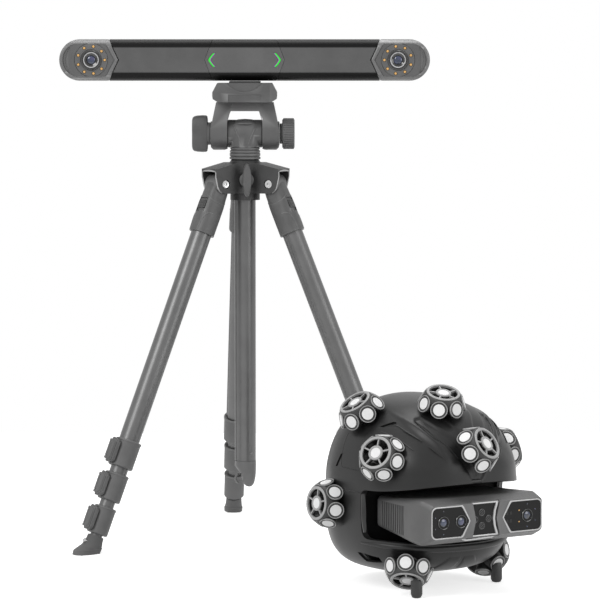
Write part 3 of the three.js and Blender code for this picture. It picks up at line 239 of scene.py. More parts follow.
def arc(middle_x, middle_y, radius, start, end, steps):
    """Points on a round from one angle to another, in degrees."""
    angles = [math.radians(start + (end - start) * i / steps) for i in range(steps + 1)]
    return [(middle_x + radius * math.cos(a), middle_y + radius * math.sin(a)) for a in angles]


def circle(radius, steps, groove_depth=0.0, groove_half=0.0, grooves=()):
    """Points of a round about the middle, drawn in near the angles of its grooves, in degrees."""
    points = []
    for i in range(steps):
        angle = math.tau * i / steps
        away = [abs(math.remainder(angle - math.radians(groove), math.tau)) for groove in grooves]
        reach = radius - groove_depth if away and min(away) < math.radians(groove_half) else radius
        points.append((reach * math.cos(angle), reach * math.sin(angle)))
    return points


def at(x=0.0, y=0.0, z=0.0):
    """A shift along the three axes."""
    return Matrix.Translation((x, y, z))


def turn(degrees, axis):
    """A turn about an axis through the middle."""
    return Matrix.Rotation(math.radians(degrees), 4, axis)


flip = Matrix.Scale(-1, 4, (1, 0, 0))


def moved(piece, *steps):
    """Moves a piece's points by each step in its order; a mirrored piece still faces outwards."""
    for matrix in steps:
        piece.data.transform(matrix)
        if matrix.determinant() < 0:
            piece.data.flip_normals()
    return piece


def combine(piece, other, how="DIFFERENCE"):
    """Cuts the other piece out of this one, adds it, or keeps only what both fill."""
    tool = piece.modifiers.new("tool", "BOOLEAN")
    tool.operation = how
    tool.solver = "EXACT"
    tool.object = other
    keep_shape(piece)
    bpy.data.objects.remove(other)
    return piece


def gather(*pieces):
    """Several pieces become one object, each with its own closed skin and materials."""
    bpy.ops.object.select_all(action="DESELECT")
    for piece in pieces:
        piece.select_set(True)
    bpy.context.view_layer.objects.active = pieces[0]
    if len(pieces) > 1:
        bpy.ops.object.join()
    pieces[0].select_set(False)
    return pieces[0]


def painted(material, *pieces):
    """Gathers pieces under one material."""
    whole = gather(*pieces)
    whole.data.materials.clear()
    whole.data.materials.append(material)
    return whole


def placed(piece, name, matrix, body, slot, *nodes, degrees=32):
    """Names a finished piece, made in millimetres, sets it where the matrix says in metres, and lets
    it ride on its body."""
    piece.name = name
    piece.data.transform(matrix @ Matrix.Scale(0.001, 4))
    piece.data.shade_smooth()
    piece.data.set_sharp_from_angle(angle=math.radians(degrees))
    even = piece.modifiers.new("even", "WEIGHTED_NORMAL")
    even.keep_sharp = True
    keep_shape(piece)
    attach(piece, body)
    if nodes:
        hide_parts(*nodes)


def copy_of(piece):
    """A second piece with a mesh of its own."""
    twin = bpy.data.objects.new("part", piece.data.copy())
    bpy.context.collection.objects.link(twin)
    return twin


def shade(level):
    """A grey as it is seen on a screen, from 0 to 255, turned into light."""
    value = min(1, level / 255)
    return (value / 12.92 if value < 0.04 else ((value + 0.055) / 1.055) ** 2.4,) * 3 + (1,)


def finish(name, level, roughness, metallic=0.0, grain=0.0, grain_size=0.0006, mottle=0.08,
           coat=0.0, edge_wear_and_highlight=0.0, specular=0.5):
    """A painted, moulded or anodised surface: a slow change of tone, a fine grain in the relief and
    the gloss, and paler sharp edges, which are wear, and on the caps a painted highlight round the rims."""
    mottle_size = 0.03
    material = surfaced(name, {"Metallic": metallic, "Coat Weight": coat, "Coat Roughness": 0.12,
                               "Specular IOR Level": specular})
    tree = material.node_tree
    place = tree.nodes.new("ShaderNodeTexCoord").outputs["Object"]

    def noise(size, detail):
        inputs = {"Scale": 1 / size, "Detail": detail, "Vector": place}
        return add_node(tree, "ShaderNodeTexNoise", inputs).outputs["Fac"]

    def spread(source, low, high, from_low=0.35, from_high=0.65):
        inputs = {"From Min": from_low, "From Max": from_high, "To Min": low, "To Max": high, "Value": source}
        return add_node(tree, "ShaderNodeMapRange", inputs).outputs["Result"]

    def mix(share, first, second):
        inputs = {"A": first, "B": second, "Factor": share}
        return add_node(tree, "ShaderNodeMix", inputs, data_type="RGBA").outputs["Result"]

    patches = spread(noise(mottle_size, 3), 0, 1)
    colour = mix(patches, shade(level * (1 - mottle)), shade(level * (1 + mottle)))
    # Paler sharp edges: wear, and on the end caps a painted highlight round their rims.
    if edge_wear_and_highlight > 0:
        edges = tree.nodes.new("ShaderNodeNewGeometry").outputs["Pointiness"]
        colour = mix(spread(edges, 0, edge_wear_and_highlight, 0.52, 0.62), colour, shade(level * 1.9))
    fine = noise(grain_size, 2)
    shader = {"Base Color": colour, "Roughness": spread(fine, roughness * 0.92, roughness * 1.08)}
    if grain > 0:
        relief = {"Strength": grain, "Distance": grain_size / 2, "Height": fine}
        shader["Normal"] = add_node(tree, "ShaderNodeBump", relief).outputs["Normal"]
    add_node(tree, "Principled BSDF", shader)
    return material


anodised = finish("satin anodised aluminium", 104, 0.36, metallic=0.55, grain=0.12, mottle=0.03)
tube_wall = 1.5
groove_turn = 102
first_tube_radius = 14.5
tube_step = 2.0
first_collar_start = 385
collar_length = 39
collar_spacing = 49
shoulder_length = 75
foot_gap = 3
foot_length = 26
leg_spread = math.radians(23)
first_leg_azimuth = 215
pivot_radius = 45
collar_ends = [first_collar_start + i * collar_spacing + collar_length for i in range(3)]
foot_start = collar_ends[-1] + foot_gap
leg_length = foot_start + foot_length
pivot_height = leg_length * math.cos(leg_spread)


def grooved_ring(radius):
    """A tube's outline with a groove on each side."""
    return circle(radius, 96, 1.1, 12, (-groove_turn, groove_turn))


def leg_tube(index):
    """A tube from inside the next larger one down to its collar's lower end, bored through."""
    radius = first_tube_radius - index * tube_step
    top = shoulder_length - 30 + index * 8
    bottom = (collar_ends + [foot_start + 13.7])[index]
    tube = prism(grooved_ring(radius), -bottom + 1, -top)
    bore = prism(grooved_ring(radius - tube_wall), -bottom - 2, -top + 2)
    return painted(anodised, combine(tube, bore))


# Collars and clamp levers: black glass-filled nylon. Each collar is fixed on a tube's lower end and its
# lever, on a steel pin between two lugs, squeezes it on the next tube.
clamp_nylon = finish("moulded nylon", 98, 0.55, grain=0.35, grain_size=0.0005, mottle=0.04, edge_wear_and_highlight=0.15)
lever_rubber = finish("lever grip", 92, 0.6, grain=0.4, mottle=0.05, edge_wear_and_highlight=0.2)
pin_steel = finish("bright steel", 190, 0.25, metallic=0.9, mottle=0.05)
collar_wall = 3.25
collar_growth = 0.6
lever_half = 18
lever_thickness = 6
barrel_radius = 3
barrel_half = 10


def collar_radius(index):
    """The outer radius of a collar: they grow thicker in the wall as the tubes grow thinner."""
    return first_tube_radius - index * tube_step + collar_wall + index * collar_growth


def hinge_place(index):
    """Where the lever's pin stands, seen from the leg's axis."""
    outwards = collar_radius(index) + 0.6 + lever_thickness / 2
    return Vector((outwards, -8.5, collar_length / 2 - collar_ends[index]))


def collar(index):
    """A ring with a thicker lip, its two lugs, and the pin that the lever turns on."""
    radius = collar_radius(index)
    low, high = -collar_ends[index], -collar_ends[index] + collar_length
    inner = first_tube_radius - index * tube_step - tube_wall / 2
    ring = turned([(inner, low + 0.8), (radius - 1.2, low), (radius, low + 1.2), (radius, high - 3.2),
                   (radius + 0.5, high - 2.8), (radius + 0.5, high - 0.8), (radius - 0.4, high),
                   (radius - 1.4, high), (inner + 1.2, high - 1.4)], 96)
    ring = combine(ring, rod(inner, low - 2, high + 2, 96))
    x, y, z = hinge_place(index)
    lug = [(inner + 2, y - 5.5), (x + 1, y - 3.2), (x + 3, y - 1.4), (x + 3, y + 1.4), (x + 1, y + 3.2),
           (inner + 2, y + 4.5)]
    lugs = []
    for side in (-1, 1):
        near, far = sorted((z + side * (barrel_half + 0.3), z + side * (barrel_half + 4.3)))
        lugs.append(rounded(prism(lug, near, far), 0.7))
    pin = moved(rod(1.3, z - barrel_half - 4.6, z + barrel_half + 4.6, 16), at(x, y))
    return gather(painted(clamp_nylon, ring, *lugs), painted(pin_steel, pin))


def clamp_lever():
    """A pad with a deep stepped edge and a raised middle, square at its hinge and round on its free
    side, on a barrel that turns between the lugs."""
    start, end = barrel_radius - 1, barrel_radius + 15.5
    layers = []
    skirt, step, middle = (-3, 1.6, 0, 4, 1.1), (1, 3.0, 1.7, 4, 0.8), (2, 4.0, 3.9, 5.5, 0.7)
    for low, high, inset, corner, width in (skirt, step, middle):
        radius = max(1.2, corner + 1 - inset / 2)
        half = lever_half - inset
        near, far = start + inset, end - inset - radius
        outline = [(near, -half)] + arc(far, radius - half, radius, -90, 0, 6) \
            + arc(far, half - 2.5 - radius, radius, 0, 80, 6) + [(near, half)]
        layers.append(rounded(prism(outline, low, high, "side"), width, 3))
    layers.append(rounded(rod(barrel_radius, -barrel_half, barrel_half, 32), 0.5))
    for i in range(5):
        layers.append(moved(rod(0.55, -lever_half + 4, lever_half - 6, 8), at(-2.6 + i * 1.1, end - 0.1)))
    return painted(lever_rubber, *layers)


# Feet: moulded rubber hoofs pressed on the lowest tubes, with a bright screw through each one.
foot_rubber = finish("foot rubber", 92, 0.7, grain=0.5, grain_size=0.0007, mottle=0.06, edge_wear_and_highlight=0.15)


def power_point(angle, half_width, half_depth, power):
    """A point of a rounded box section whose corners sharpen as the power grows."""
    c, s = math.cos(angle), math.sin(angle)
    return (half_width * math.copysign(abs(c) ** (2 / power), c),
            half_depth * math.copysign(abs(s) ** (2 / power), s))


def section_ring(half_width, half_depth, height, power=2.0, sides=64, shift=0.0, tilt=0.0):
    """One ring of a loft with a rounded box section."""
    ring = [power_point(math.tau * i / sides, half_width, half_depth, power) for i in range(sides)]
    return [(x + shift, y, height - (x + shift) * tilt) for x, y in ring]


def leg_foot():
    """A round socket that flares to a long sole with a sharp welt, cut level with the ground."""
    slope = math.tan(leg_spread)
    rings = [(17.5, 12, -leg_length + 0.2, 2.2, 5.0, slope), (19.1, 13.5, -leg_length + 1.0, 2.2, 5.4, slope),
             (19.5, 14, -leg_length + 7.5, 2.2, 5.5, slope), (18.3, 13.2, -leg_length + 8.6, 2.2, 5.3, slope),
             (14.5, 12.4, -foot_start - 13.2, 2.1, 1.6, slope * 0.7),
             (12.2, 11.9, -foot_start - 8, 2, 0.3, slope * 0.35),
             (11.5, 11.5, -foot_start - 1, 2, 0, 0), (10.8, 10.8, -foot_start, 2, 0, 0)]
    parts = [lofted([section_ring(*ring[:4], 64, *ring[4:]) for ring in rings])]
    for i in range(7):
        x = -9 + i * 4.6
        tread = block(-10, 10, -1.2, 0.8, x - 1.1, x + 1.1, "side")
        parts.append(moved(tread, at(z=-leg_length + 0.9) @ Matrix.Rotation(leg_spread, 4, "Y")))
    screw = turned([(0, 13.3), (1.3, 13.3), (1.3, 13.9), (2.6, 14.1), (3, 13.6), (3, 8)], 24)
    return gather(painted(foot_rubber, *parts),
                  painted(pin_steel, moved(screw, at(2.5, 0, -leg_length + 15) @ turn(90, "Y"))))


# Leg shoulders: die-cast magnesium, painted. Each has a flat-sided knuckle on the leg pin, a sliding
# angle stop in a recess on its outer side, and an arched ridge down to the socket that grips the tube.
magnesium = finish("painted magnesium", 90, 0.5, metallic=0.25, grain=0.45, grain_size=0.0007,
                   mottle=0.05, edge_wear_and_highlight=0.35)
stop_plastic = finish("angle stop", 70, 0.5, grain=0.3, mottle=0.04)
knuckle_radius = 14
knuckle_half = 14.7


def shoulder_ring(height):
    """The shoulder's section at a height: half width, half depth and squareness, eased between five."""
    stations = [(-75, 17, 18, 2.3), (-52, 16.9, 17.8, 2.4), (-34, 16.6, 16.8, 2.7), (-18, 15, 14.9, 3.4),
                (0, 13.7, 14.6, 3.6)]
    for (z0, *low), (z1, *high) in zip(stations, stations[1:]):
        if z0 <= height <= z1:
            share = (height - z0) / (z1 - z0)
            share = share * share * (3 - 2 * share)
            return [a + (b - a) * share for a, b in zip(low, high)]


def on_shoulder(degrees, height, proud):
    """A point on the shoulder's skin at an angle from its outer side, raised by the last number."""
    x, y = power_point(math.radians(degrees), *shoulder_ring(height))
    reach = math.hypot(x, y)
    return Vector((x * (1 + proud / reach), y * (1 + proud / reach), height))


def swept(path, radius, sides=10, flat=1.0, taper=True):
    """A round rib along a path of points, thin at its ends where it tapers."""
    rings = []
    for i, point in enumerate(path):
        ahead = path[min(i + 1, len(path) - 1)] - path[max(i - 1, 0)]
        side = ahead.cross(point - Vector((0, 0, point.z))).normalized()
        up = side.cross(ahead).normalized()
        share = math.sin(math.pi * (0.02 + 0.96 * i / (len(path) - 1))) ** 0.4 if taper else 1
        angles = [math.tau * k / sides for k in range(sides)]
        rings.append([point + side * radius * share * math.cos(a) + up * radius * flat * share * math.sin(a)
                      for a in angles])
    return lofted(rings)


def leg_shoulder():
    """The eased body with its knuckle, a ridge and a rim on each side, and the ribbed angle stop."""
    rings = []
    for i in range(31):
        height = -75 + 75 * i / 30
        half_width, half_depth, power = shoulder_ring(height)
        rings.append(section_ring(half_width, half_depth, height, power, 72))
    body = combine(lofted(rings), block(-10, 10, -47, -26, 13.4, 30, "side"))
    body = rounded(combine(body, rod(14.8, -80, -45)), 0.8, 2, 40)
    knuckle = turned([(knuckle_radius - 0.8, -knuckle_half), (knuckle_radius, -knuckle_half + 0.8),
                      (knuckle_radius, knuckle_half - 0.8), (knuckle_radius - 0.8, knuckle_half)])
    parts = [body, moved(knuckle, turn(90, "X"))]
    ridge = [(27, -74), (28, -68), (31, -61), (37, -54.5), (46, -50), (57, -47.5), (70, -46), (84, -45.5)]
    for side in (-1, 1):
        parts.append(swept([on_shoulder(side * angle, height, 0.1) for angle, height in ridge], 1.0, 10, 0.6))
        rim = [on_shoulder(side * a, -19.5 - 9 * math.sin(math.radians(a)), 0.0) for a in range(10, 171, 10)]
        parts.append(swept(rim, 0.9, 10, 0.6))
    stop = [rounded(block(-8, 8, -41, -30, 11, 15.6, "side"), 0.8, 3)]
    for i in range(4):
        z = -39 + i * 2.4
        stop.append(block(-6, 6, z, z + 1.1, 15, 16.4, "side"))
    return gather(painted(magnesium, *parts), painted(stop_plastic, *stop))


def leg_pin():
    """A bright pin through the knuckle, with a socket in each end."""
    end = 19
    half = [(0, end - 2.2), (1.8, end - 2.2), (2.2, end - 0.2), (4.6, end), (5.6, end - 0.6), (5.7, end - 3)]
    profile = half + [(radius, -height) for radius, height in reversed(half)]
    return painted(pin_steel, moved(turned(profile, 32), turn(90, "X")))


leg_pieces = {"shoulder": leg_shoulder(), "pin": leg_pin(), "foot": leg_foot(), "lever": clamp_lever()}
for index in range(4):
    leg_pieces[f"tube_{index + 1}"] = leg_tube(index)
for index in range(3):
    leg_pieces[f"collar_{index + 1}"] = collar(index)

set_place = at(column_x, column_y)
for number in (1, 2, 3):
    leg_place = set_place @ turn(first_leg_azimuth + (number - 1) * 120, "Z") \
        @ at(pivot_radius / 1000, 0, pivot_height / 1000) @ Matrix.Rotation(-leg_spread, 4, "Y")
    leg = f"leg_{number}"

    def leg_copy(part, body, slot, *nodes, shift=Matrix.Identity(4)):
        name = f"{nodes[0] if part == 'lever' else leg}.{part}"
        placed(copy_of(leg_pieces[part]), name, leg_place @ shift, body, slot, *nodes)

    leg_copy("shoulder", leg, "dark_casting", f"{leg}_shoulder")
    leg_copy("pin", leg, "dark_casting")
    leg_copy("tube_1", leg, "anodised_tube", f"{leg}_tube_1")
    leg_copy("collar_1", leg, "clamp_plastic")
    for index in (2, 3):
        leg_copy(f"tube_{index}", f"{leg}_part_{index}", "anodised_tube", f"{leg}_section_{index}")
        leg_copy(f"collar_{index}", f"{leg}_part_{index}", "clamp_plastic")
    leg_copy("tube_4", f"{leg}_part_4", "anodised_tube", f"{leg}_section_4")
    leg_copy("foot", f"{leg}_part_4", "black_rubber", f"{leg}_foot")
    for index in (1, 2, 3):
        hinge = Matrix.Translation(hinge_place(index - 1) / 1000)
        leg_copy("lever", f"{leg}_clamp_{index}", "black_rubber", f"{leg}_lever_{index}", shift=hinge)
for piece in leg_pieces.values():
    bpy.data.objects.remove(piece)


# The apex: a die-cast spider that carries the legs. Each leg hangs in a channel with a hood and two
# ears, whose machined lips are left bright, and the column slides in its bush.
hub_radius = 24
apex_rise = 34
ear_drop = 13.3
channel_half = 15
half_wing = 19
wing_radius = 61
wing_tip = 21.4
hood = 4
column_radius = 15
knob_azimuth = first_leg_azimuth + 60
knob_rise = 6
lip_metal = finish("bright lip", 176, 0.4, metallic=0.4, grain=0.2, mottle=0.05)
dark_magnesium = finish("dark painted magnesium", 58, 0.48, metallic=0.25, grain=0.45, grain_size=0.0007,
                        mottle=0.05, edge_wear_and_highlight=0.3)


def stand_along(piece, azimuth):
    """Turns a side outline's piece so that its outline runs outwards at the azimuth."""
    return moved(piece, turn(azimuth - 90, "Z"))


def apex_casting():
    whole = turned([(21, -ear_drop - 10), (21, -ear_drop), (hub_radius, -ear_drop),
                    (hub_radius, apex_rise - hood - 3), (20, apex_rise - 0.8), (19.2, apex_rise)], 96)
    # The side of a wing: out under the hood, round the leg pin and back to the hub.
    wing = [(0, -ear_drop), (pivot_radius, -ear_drop)] + arc(pivot_radius, 0, ear_drop, -78, -14, 10) \
        + [(wing_radius, wing_tip / 2), (wing_radius, wing_tip), (hub_radius, apex_rise - hood),
           (0, apex_rise - hood)]
    hollow = [(hub_radius, -40), (wing_radius + 9, -40), (wing_radius + 9, wing_tip - hood - 0.6),
              (hub_radius + 2, apex_rise - 2 * hood - 0.6), (hub_radius, apex_rise - 2 * hood - 3)]
    azimuths = [first_leg_azimuth + i * 120 for i in range(3)]
    cutters = []
    for azimuth in azimuths:
        whole = combine(whole, stand_along(prism(wing, -half_wing, half_wing, "side"), azimuth), "UNION")
        cutters.append(stand_along(prism(hollow, -channel_half, channel_half, "side"), azimuth))
        cutters.append(moved(rod(6.4, -30, 30, 32), turn(90, "X"), at(pivot_radius), turn(azimuth, "Z")))
    boss = moved(rod(9.4, 0, 25, 40), turn(90, "Y"), at(z=knob_rise), turn(knob_azimuth, "Z"))
    whole = combine(whole, boss, "UNION")
    for cutter in cutters + [rod(column_radius + 0.3, -60, 60, 96)]:
        whole = combine(whole, cutter)
    lips = []
    edge = [(wing_radius - 12, -ear_drop + 2.6)] + arc(pivot_radius, 0, ear_drop - 0.3, -62, -14, 8) \
        + [(wing_radius + 0.1, wing_tip / 2), (wing_radius + 0.1, wing_tip - 3.5)]
    across = [Vector((x, wing_radius + 0.1, wing_tip - 2.2 - 0.02 * x * x / 4)) for x in range(-16, 17, 2)]
    for azimuth in azimuths:
        for side in (-1, 1):
            path = [Vector((side * (channel_half + 2.2), y, z)) for y, z in edge]
            lips.append(stand_along(swept(path, 1.9, 10, 0.5), azimuth))
        lips.append(stand_along(swept(across, 1.3, 10, 0.5), azimuth))
    return gather(painted(dark_magnesium, rounded(whole, 0.9, 3, 35)), painted(lip_metal, *lips))


placed(apex_casting(), "apex", set_place @ at(z=pivot_height / 1000), "stand", "dark_casting", "apex_casting")


# The centre column: a drawn tube with one keyway down its left, the head's flange on top, and a plastic
# plug with a hook at its foot. It slides up in the apex.
apex_top = pivot_height + apex_rise
flange_top = apex_top + 0.3 + 8.7
column_end = 111.5
plug_plastic = finish("moulded plug", 112, 0.5, grain=0.35, mottle=0.05)


def column_tube():
    """The tube, its flange and a small stop near its foot."""
    tube = prism(circle(column_radius, 120, 2.2, 8, (207,)), column_end, apex_top + 1)
    flange = turned([(21.4, apex_top + 0.3), (22, apex_top + 0.9), (22, apex_top + 3.4), (20.6, apex_top + 4),
                     (20.6, apex_top + 4.8), (21.8, apex_top + 5.4), (21.8, flange_top - 0.5),
                     (21.3, flange_top)], 96)
    stop = moved(turned([(0, 1.6), (1.6, 1.4), (2.1, 0)], 16), turn(90, "X"), at(9, -12, column_end + 11))
    return gather(painted(anodised, tube), painted(magnesium, flange, stop))


def column_plug():
    """The plug narrows on one side to a rounded hook."""
    top = column_end - 0.3
    rings = []
    for drop, left, right in [
        (0, -15, 15), (1.2, -15.2, 15.2), (7, -15.2, 15.2), (12, -12, 15.2), (18, -7, 15), (24, -5, 14.4),
        (30, -4, 13.2), (34, -2, 11.6), (36.6, 0.5, 9.6), (37.6, 3, 7.6),
    ]:
        half = (right - left) / 2
        depth = max(2.2, min(15.0, half * 1.15))
        rings.append(section_ring(half, depth, top - drop, 2.2, shift=(left + right) / 2))
    loop = [Vector((x, 0, top - 26 + 1.3 * z)) for x, z in arc(-9, 0, 5, 70, 310, 12)]
    return painted(plug_plastic, rounded(lofted(rings), 0.5, 2, 50), swept(loop, 1.9, 12, taper=False))


placed(column_tube(), "column", set_place, "column", "anodised_tube", "centre_column")
placed(column_plug(), "plug", set_place, "column", "dark_casting", "column_hook")

# The column lock: a round disc and a long wing, moulded on a steel screw that presses on the column.
wing_half = 23.5
knob_base = (half_wing + 5) / math.sin(math.pi / 3) + 1
knob_reach = (half_wing + wing_half / 2) / math.sin(math.pi / 3) + 1 - knob_base
knob_rubber = finish("moulded knob", 88, 0.55, grain=0.35, mottle=0.05, edge_wear_and_highlight=0.2)


def column_knob():
    disc = turned([(9.2, 0), (10, 0.8), (10, 4), (8.4, 5.2), (5.6, knob_reach)])
    rings = []
    for share, height in [(0.9, -0.3), (1.0, 0.8), (0.96, 5), (0.86, 7.4), (0.7, 8)]:
        ring = []
        for along, across in circle(1, 72):
            width = 6.4 * (1 - 0.2 * along * along) * share
            reach = wing_half * share * math.copysign(abs(along) ** 0.9, along)
            ring.append((reach, width * math.copysign(abs(across) ** 0.75, across), knob_reach + height))
        rings.append(ring)
    return painted(knob_rubber, disc, rounded(lofted(rings), 0.8, 3, 40))


knob_place = set_place @ turn(knob_azimuth, "Z") \
    @ at(knob_base / 1000, 0, (pivot_height + knob_rise) / 1000) @ turn(90, "Y")
placed(column_knob(), "knob", knob_place, "column_knob", "black_rubber", "column_lock_knob")


# The head: a cast pan base, a tilt drum with V-shaped flats, and a yoke that swings on the drum's shaft.
pan_ring_top = flange_top + 0.3 + 7.5
tilt_axis = pan_ring_top + 19.7
drum_radius = 19.7
drum_half = 24.5
arm_inner = drum_half + 0.3
arm_outer = arm_inner + 23.8
arm_radius = 23
yoke_top = tilt_axis + 32 + 12.4


def pan_base():
    return turned([(20.6, flange_top + 0.3), (21.5, flange_top + 1.1), (21.5, flange_top + 3.6),
                   (19.8, flange_top + 4.2), (19.8, flange_top + 5), (20.9, flange_top + 5.5),
                   (20.9, pan_ring_top - 0.6), (20, pan_ring_top)], 96)


def tilt_drum():
    """A barrel with a squarer body under it, raised creases that run down in a V, and a domed cap."""
    body = turned([(drum_radius - 1, -drum_half), (drum_radius, -drum_half + 1),
                   (drum_radius, drum_half - 1), (drum_radius - 1, drum_half)], 96)
    low = pan_ring_top - tilt_axis
    base = lofted([section_ring(*ring) for ring in (
        (20.5, 20, low + 0.3, 2.2), (22.5, 20.2, low + 3, 2.6), (24.2, 20.4, -3, 3.4), (24.2, 19.4, 8, 3.6),
        (24, 15, 14.5, 3.2))])
    whole = rounded(combine(moved(body, turn(90, "Y")), base, "UNION"), 0.4, 2, 40)
    creases = []
    for front in (-1, 1):
        for side in (-1, 1):
            path = []
            for height in range(12, -18, -2):
                if height < 5:
                    depth = max(19.9, math.sqrt(drum_radius ** 2 - height ** 2))
                else:
                    depth = 19.9 - 4.4 * ((height - 5) / 7) ** 1.6
                path.append(Vector((side * (3.6 + 12.4 * (height + 17) / 29), front * depth, height)))
            creases.append(swept(path, 0.9, 8, 0.7))
    cap = turned([(18.6, 13.4), (19, 14.4), (18.6, 15.4), (16, 18.2), (10, 20.2), (0, 20.9)], 96)
    return gather(whole, cap, moved(rod(8, -arm_outer, arm_outer, 48), turn(90, "Y")), *creases)


def yoke():
    """Two arms with round lower ends and a bridge over them, which narrows to the platform."""
    base = -arm_radius
    top = yoke_top - tilt_axis
    left_arm, right_arm = [
        prism([(side * arm_inner, base + 1.5), (side * (arm_inner + 4), base), (side * (arm_outer - 4), base),
               (side * (arm_outer - 0.6), base + 4), (side * arm_outer, base + 12), (side * arm_outer, 6),
               (side * (arm_outer - 8), top), (side * (arm_inner - 9), top), (side * (arm_inner - 9), 36),
               (side * (arm_inner - 5), 33), (side * arm_inner, 22)], -30, 30, "front") for side in (-1, 1)]
    bridge = prism([(-20, 32), (20, 32), (22, top), (-22, top)], -30, 30, "front")
    front = combine(combine(left_arm, bridge, "UNION"), right_arm, "UNION")
    waist = [(18.5, top), (-18.5, top), (base, 8)] + arc(0, 0, arm_radius, 180, 360, 40) + [(arm_radius, 8)]
    whole = combine(front, prism(waist, -60, 60, "side"), "INTERSECT")
    parts = [rounded(combine(whole, moved(rod(8.4, -70, 70, 48), turn(90, "Y"))), 1.2, 3, 28)]
    for side in (-1, 1):
        path = [(17, 18.7, 43), (20, 19.2, 34), (22.6, 20.2, 26), (24.6, 21.6, 17)]
        parts.append(swept([Vector((side * x, -y, z)) for x, y, z in path], 0.8, 10, 0.6))
        washer = turned([(12, 0), (12, 2.2), (16.6, 2.2), (17.4, 1.2), (17.4, 0)])
        parts.append(moved(washer, at(side * (arm_outer - 1.9)) @ turn(side * 90, "Y")))
    return gather(*parts)


head_place = set_place @ at(z=tilt_axis / 1000)
placed(painted(magnesium, pan_base()), "pan", set_place, "pan_head", "dark_casting", "pan_base")
placed(painted(magnesium, tilt_drum()), "drum", head_place, "pan_head", "dark_casting", "head_drum")
placed(painted(magnesium, yoke()), "yoke", head_place, "tilt_head", "dark_casting", "head_yoke")

# The knobs: the left one is a deep paddle that locks the tilt, the right one a ribbed wheel that sets its
# drag. Both are nylon moulded on steel studs that run in the drum's shaft.
neck_length = 3.9
knob_start = (arm_outer + 0.3) / 1000


def lock_paddle():
    neck = turned([(15.4, 0.3), (16, 1), (16, neck_length), (14, neck_length + 1)])
    rings = []
    shares = [(0.8, 3.9), (0.92, 4.4), (0.98, 6), (1.0, 11), (1.0, 19), (0.97, 23), (0.9, 25.2), (0.78, 26)]
    for share, height in shares:
        tall = share * (1 - 0.05 * (height - 4) / 22)
        wide = 0.6 + 0.4 * share
        waist = 0.22 * min(1, (height - 3) / 14)
        rings.append([(x * tall, y * wide * (1 - waist * math.exp(-(x / 9) ** 2)), z)
                      for x, y, z in section_ring(26.5, 12, height, 3.0, 88)])
    return painted(knob_rubber, neck, rounded(lofted(rings), 0.6, 2, 40))


def ring_tree():
    """A node tree that stands copies of a piece round an axis, with its count and material as inputs."""
    tree = bpy.data.node_groups.new("pieces in a ring", "GeometryNodeTree")
    tree.interface.new_socket("Geometry", in_out="OUTPUT", socket_type="NodeSocketGeometry")
    for label, kind in [("Piece", "Object"), ("Count", "Int"), ("Radius", "Float"), ("Lean", "Float"),
                        ("First Angle", "Float"), ("Finish", "Material")]:
        tree.interface.new_socket(label, in_out="INPUT", socket_type="NodeSocket" + kind)

    def step(kind, inputs, **options):
        return add_node(tree, kind, inputs, **options).outputs[0]

    asked = tree.nodes.new("NodeGroupInput").outputs
    line = step("GeometryNodeMeshLine", {"Count": asked["Count"], "Offset": (0, 0, 0)})
    index = step("GeometryNodeInputIndex", {})
    share = step("ShaderNodeMath", {0: index, 1: asked["Count"]}, operation="DIVIDE")
    angle = step("ShaderNodeMath", {0: share, 1: math.tau, 2: asked["First Angle"]}, operation="MULTIPLY_ADD")
    tilt = step("ShaderNodeCombineXYZ", {"Y": asked["Lean"], "Z": angle})
    out = step("ShaderNodeCombineXYZ", {"X": asked["Radius"]})
    spot = step("ShaderNodeVectorRotate", {"Vector": out, "Angle": angle}, rotation_type="Z_AXIS")
    spots = step("GeometryNodeSetPosition", {"Geometry": line, "Position": spot})
    source = add_node(tree, "GeometryNodeObjectInfo", {"Object": asked["Piece"]}).outputs["Geometry"]
    copies = step("GeometryNodeInstanceOnPoints", {"Points": spots, "Instance": source, "Rotation": tilt})
    real = step("GeometryNodeRealizeInstances", {0: copies})
    coated = step("GeometryNodeSetMaterial", {"Geometry": real, "Material": asked["Finish"]})
    add_node(tree, "NodeGroupOutput", {0: coated})
    return tree


in_a_ring = ring_tree()


def ring_of(piece, material, count, radius, lean=0.0, first_angle=0.0):
    """Runs the tree on an empty piece and keeps the plain mesh; the piece that was copied goes."""
    whole = piece_from([], [])
    modifier = whole.modifiers.new("ring", "NODES")
    modifier.node_group = in_a_ring
    given = {"Piece": piece, "Count": count, "Radius": float(radius), "Lean": float(lean),
             "First Angle": float(first_angle), "Finish": material}
    for socket in in_a_ring.interface.items_tree:
        if socket.name in given:
            modifier[socket.identifier] = given[socket.name]
    bpy.context.view_layer.update()
    keep_shape(whole)
    bpy.data.objects.remove(piece)
    return whole


def drag_wheel():
    neck = turned([(14, 0.3), (14.5, 1), (14.5, neck_length), (13, neck_length + 1)])
    rim = turned([(19.4, 3.9), (20.9, 5.2), (20.9, 20.4), (19.6, 21.4), (8, 21.5), (7.4, 20.9),
                  (0, 20.9)], 96)
    rib = rounded(prism([(-1.15, -0.8), (1.15, -0.8), (0.7, 1.0), (-0.7, 1.0)], 5.4, 20.3), 0.35)
    ribs = ring_of(moved(rib, turn(-90, "Z")), knob_rubber, 40, 20.9)
    return gather(painted(knob_rubber, neck, rim), ribs)


paddle_place = head_place @ at(-knob_start) @ turn(-90, "Y")
drag_place = head_place @ at(knob_start) @ turn(90, "Y")
placed(lock_paddle(), "paddle", paddle_place, "lock_knob", "black_rubber", "tilt_lock_knob")
placed(drag_wheel(), "wheel", drag_place, "drag_knob", "black_rubber", "tilt_drag_knob")

# The platform: a cast block that narrows at its top corners, with a round scoop and a bare panel in
# front, and a wing screw underneath for the quick plate in its channel.
platform_base = yoke_top + 0.3 - tilt_axis
platform_top = platform_base + 27
plate_rubber = finish("plate pad", 60, 0.7, grain=0.5, mottle=0.05)


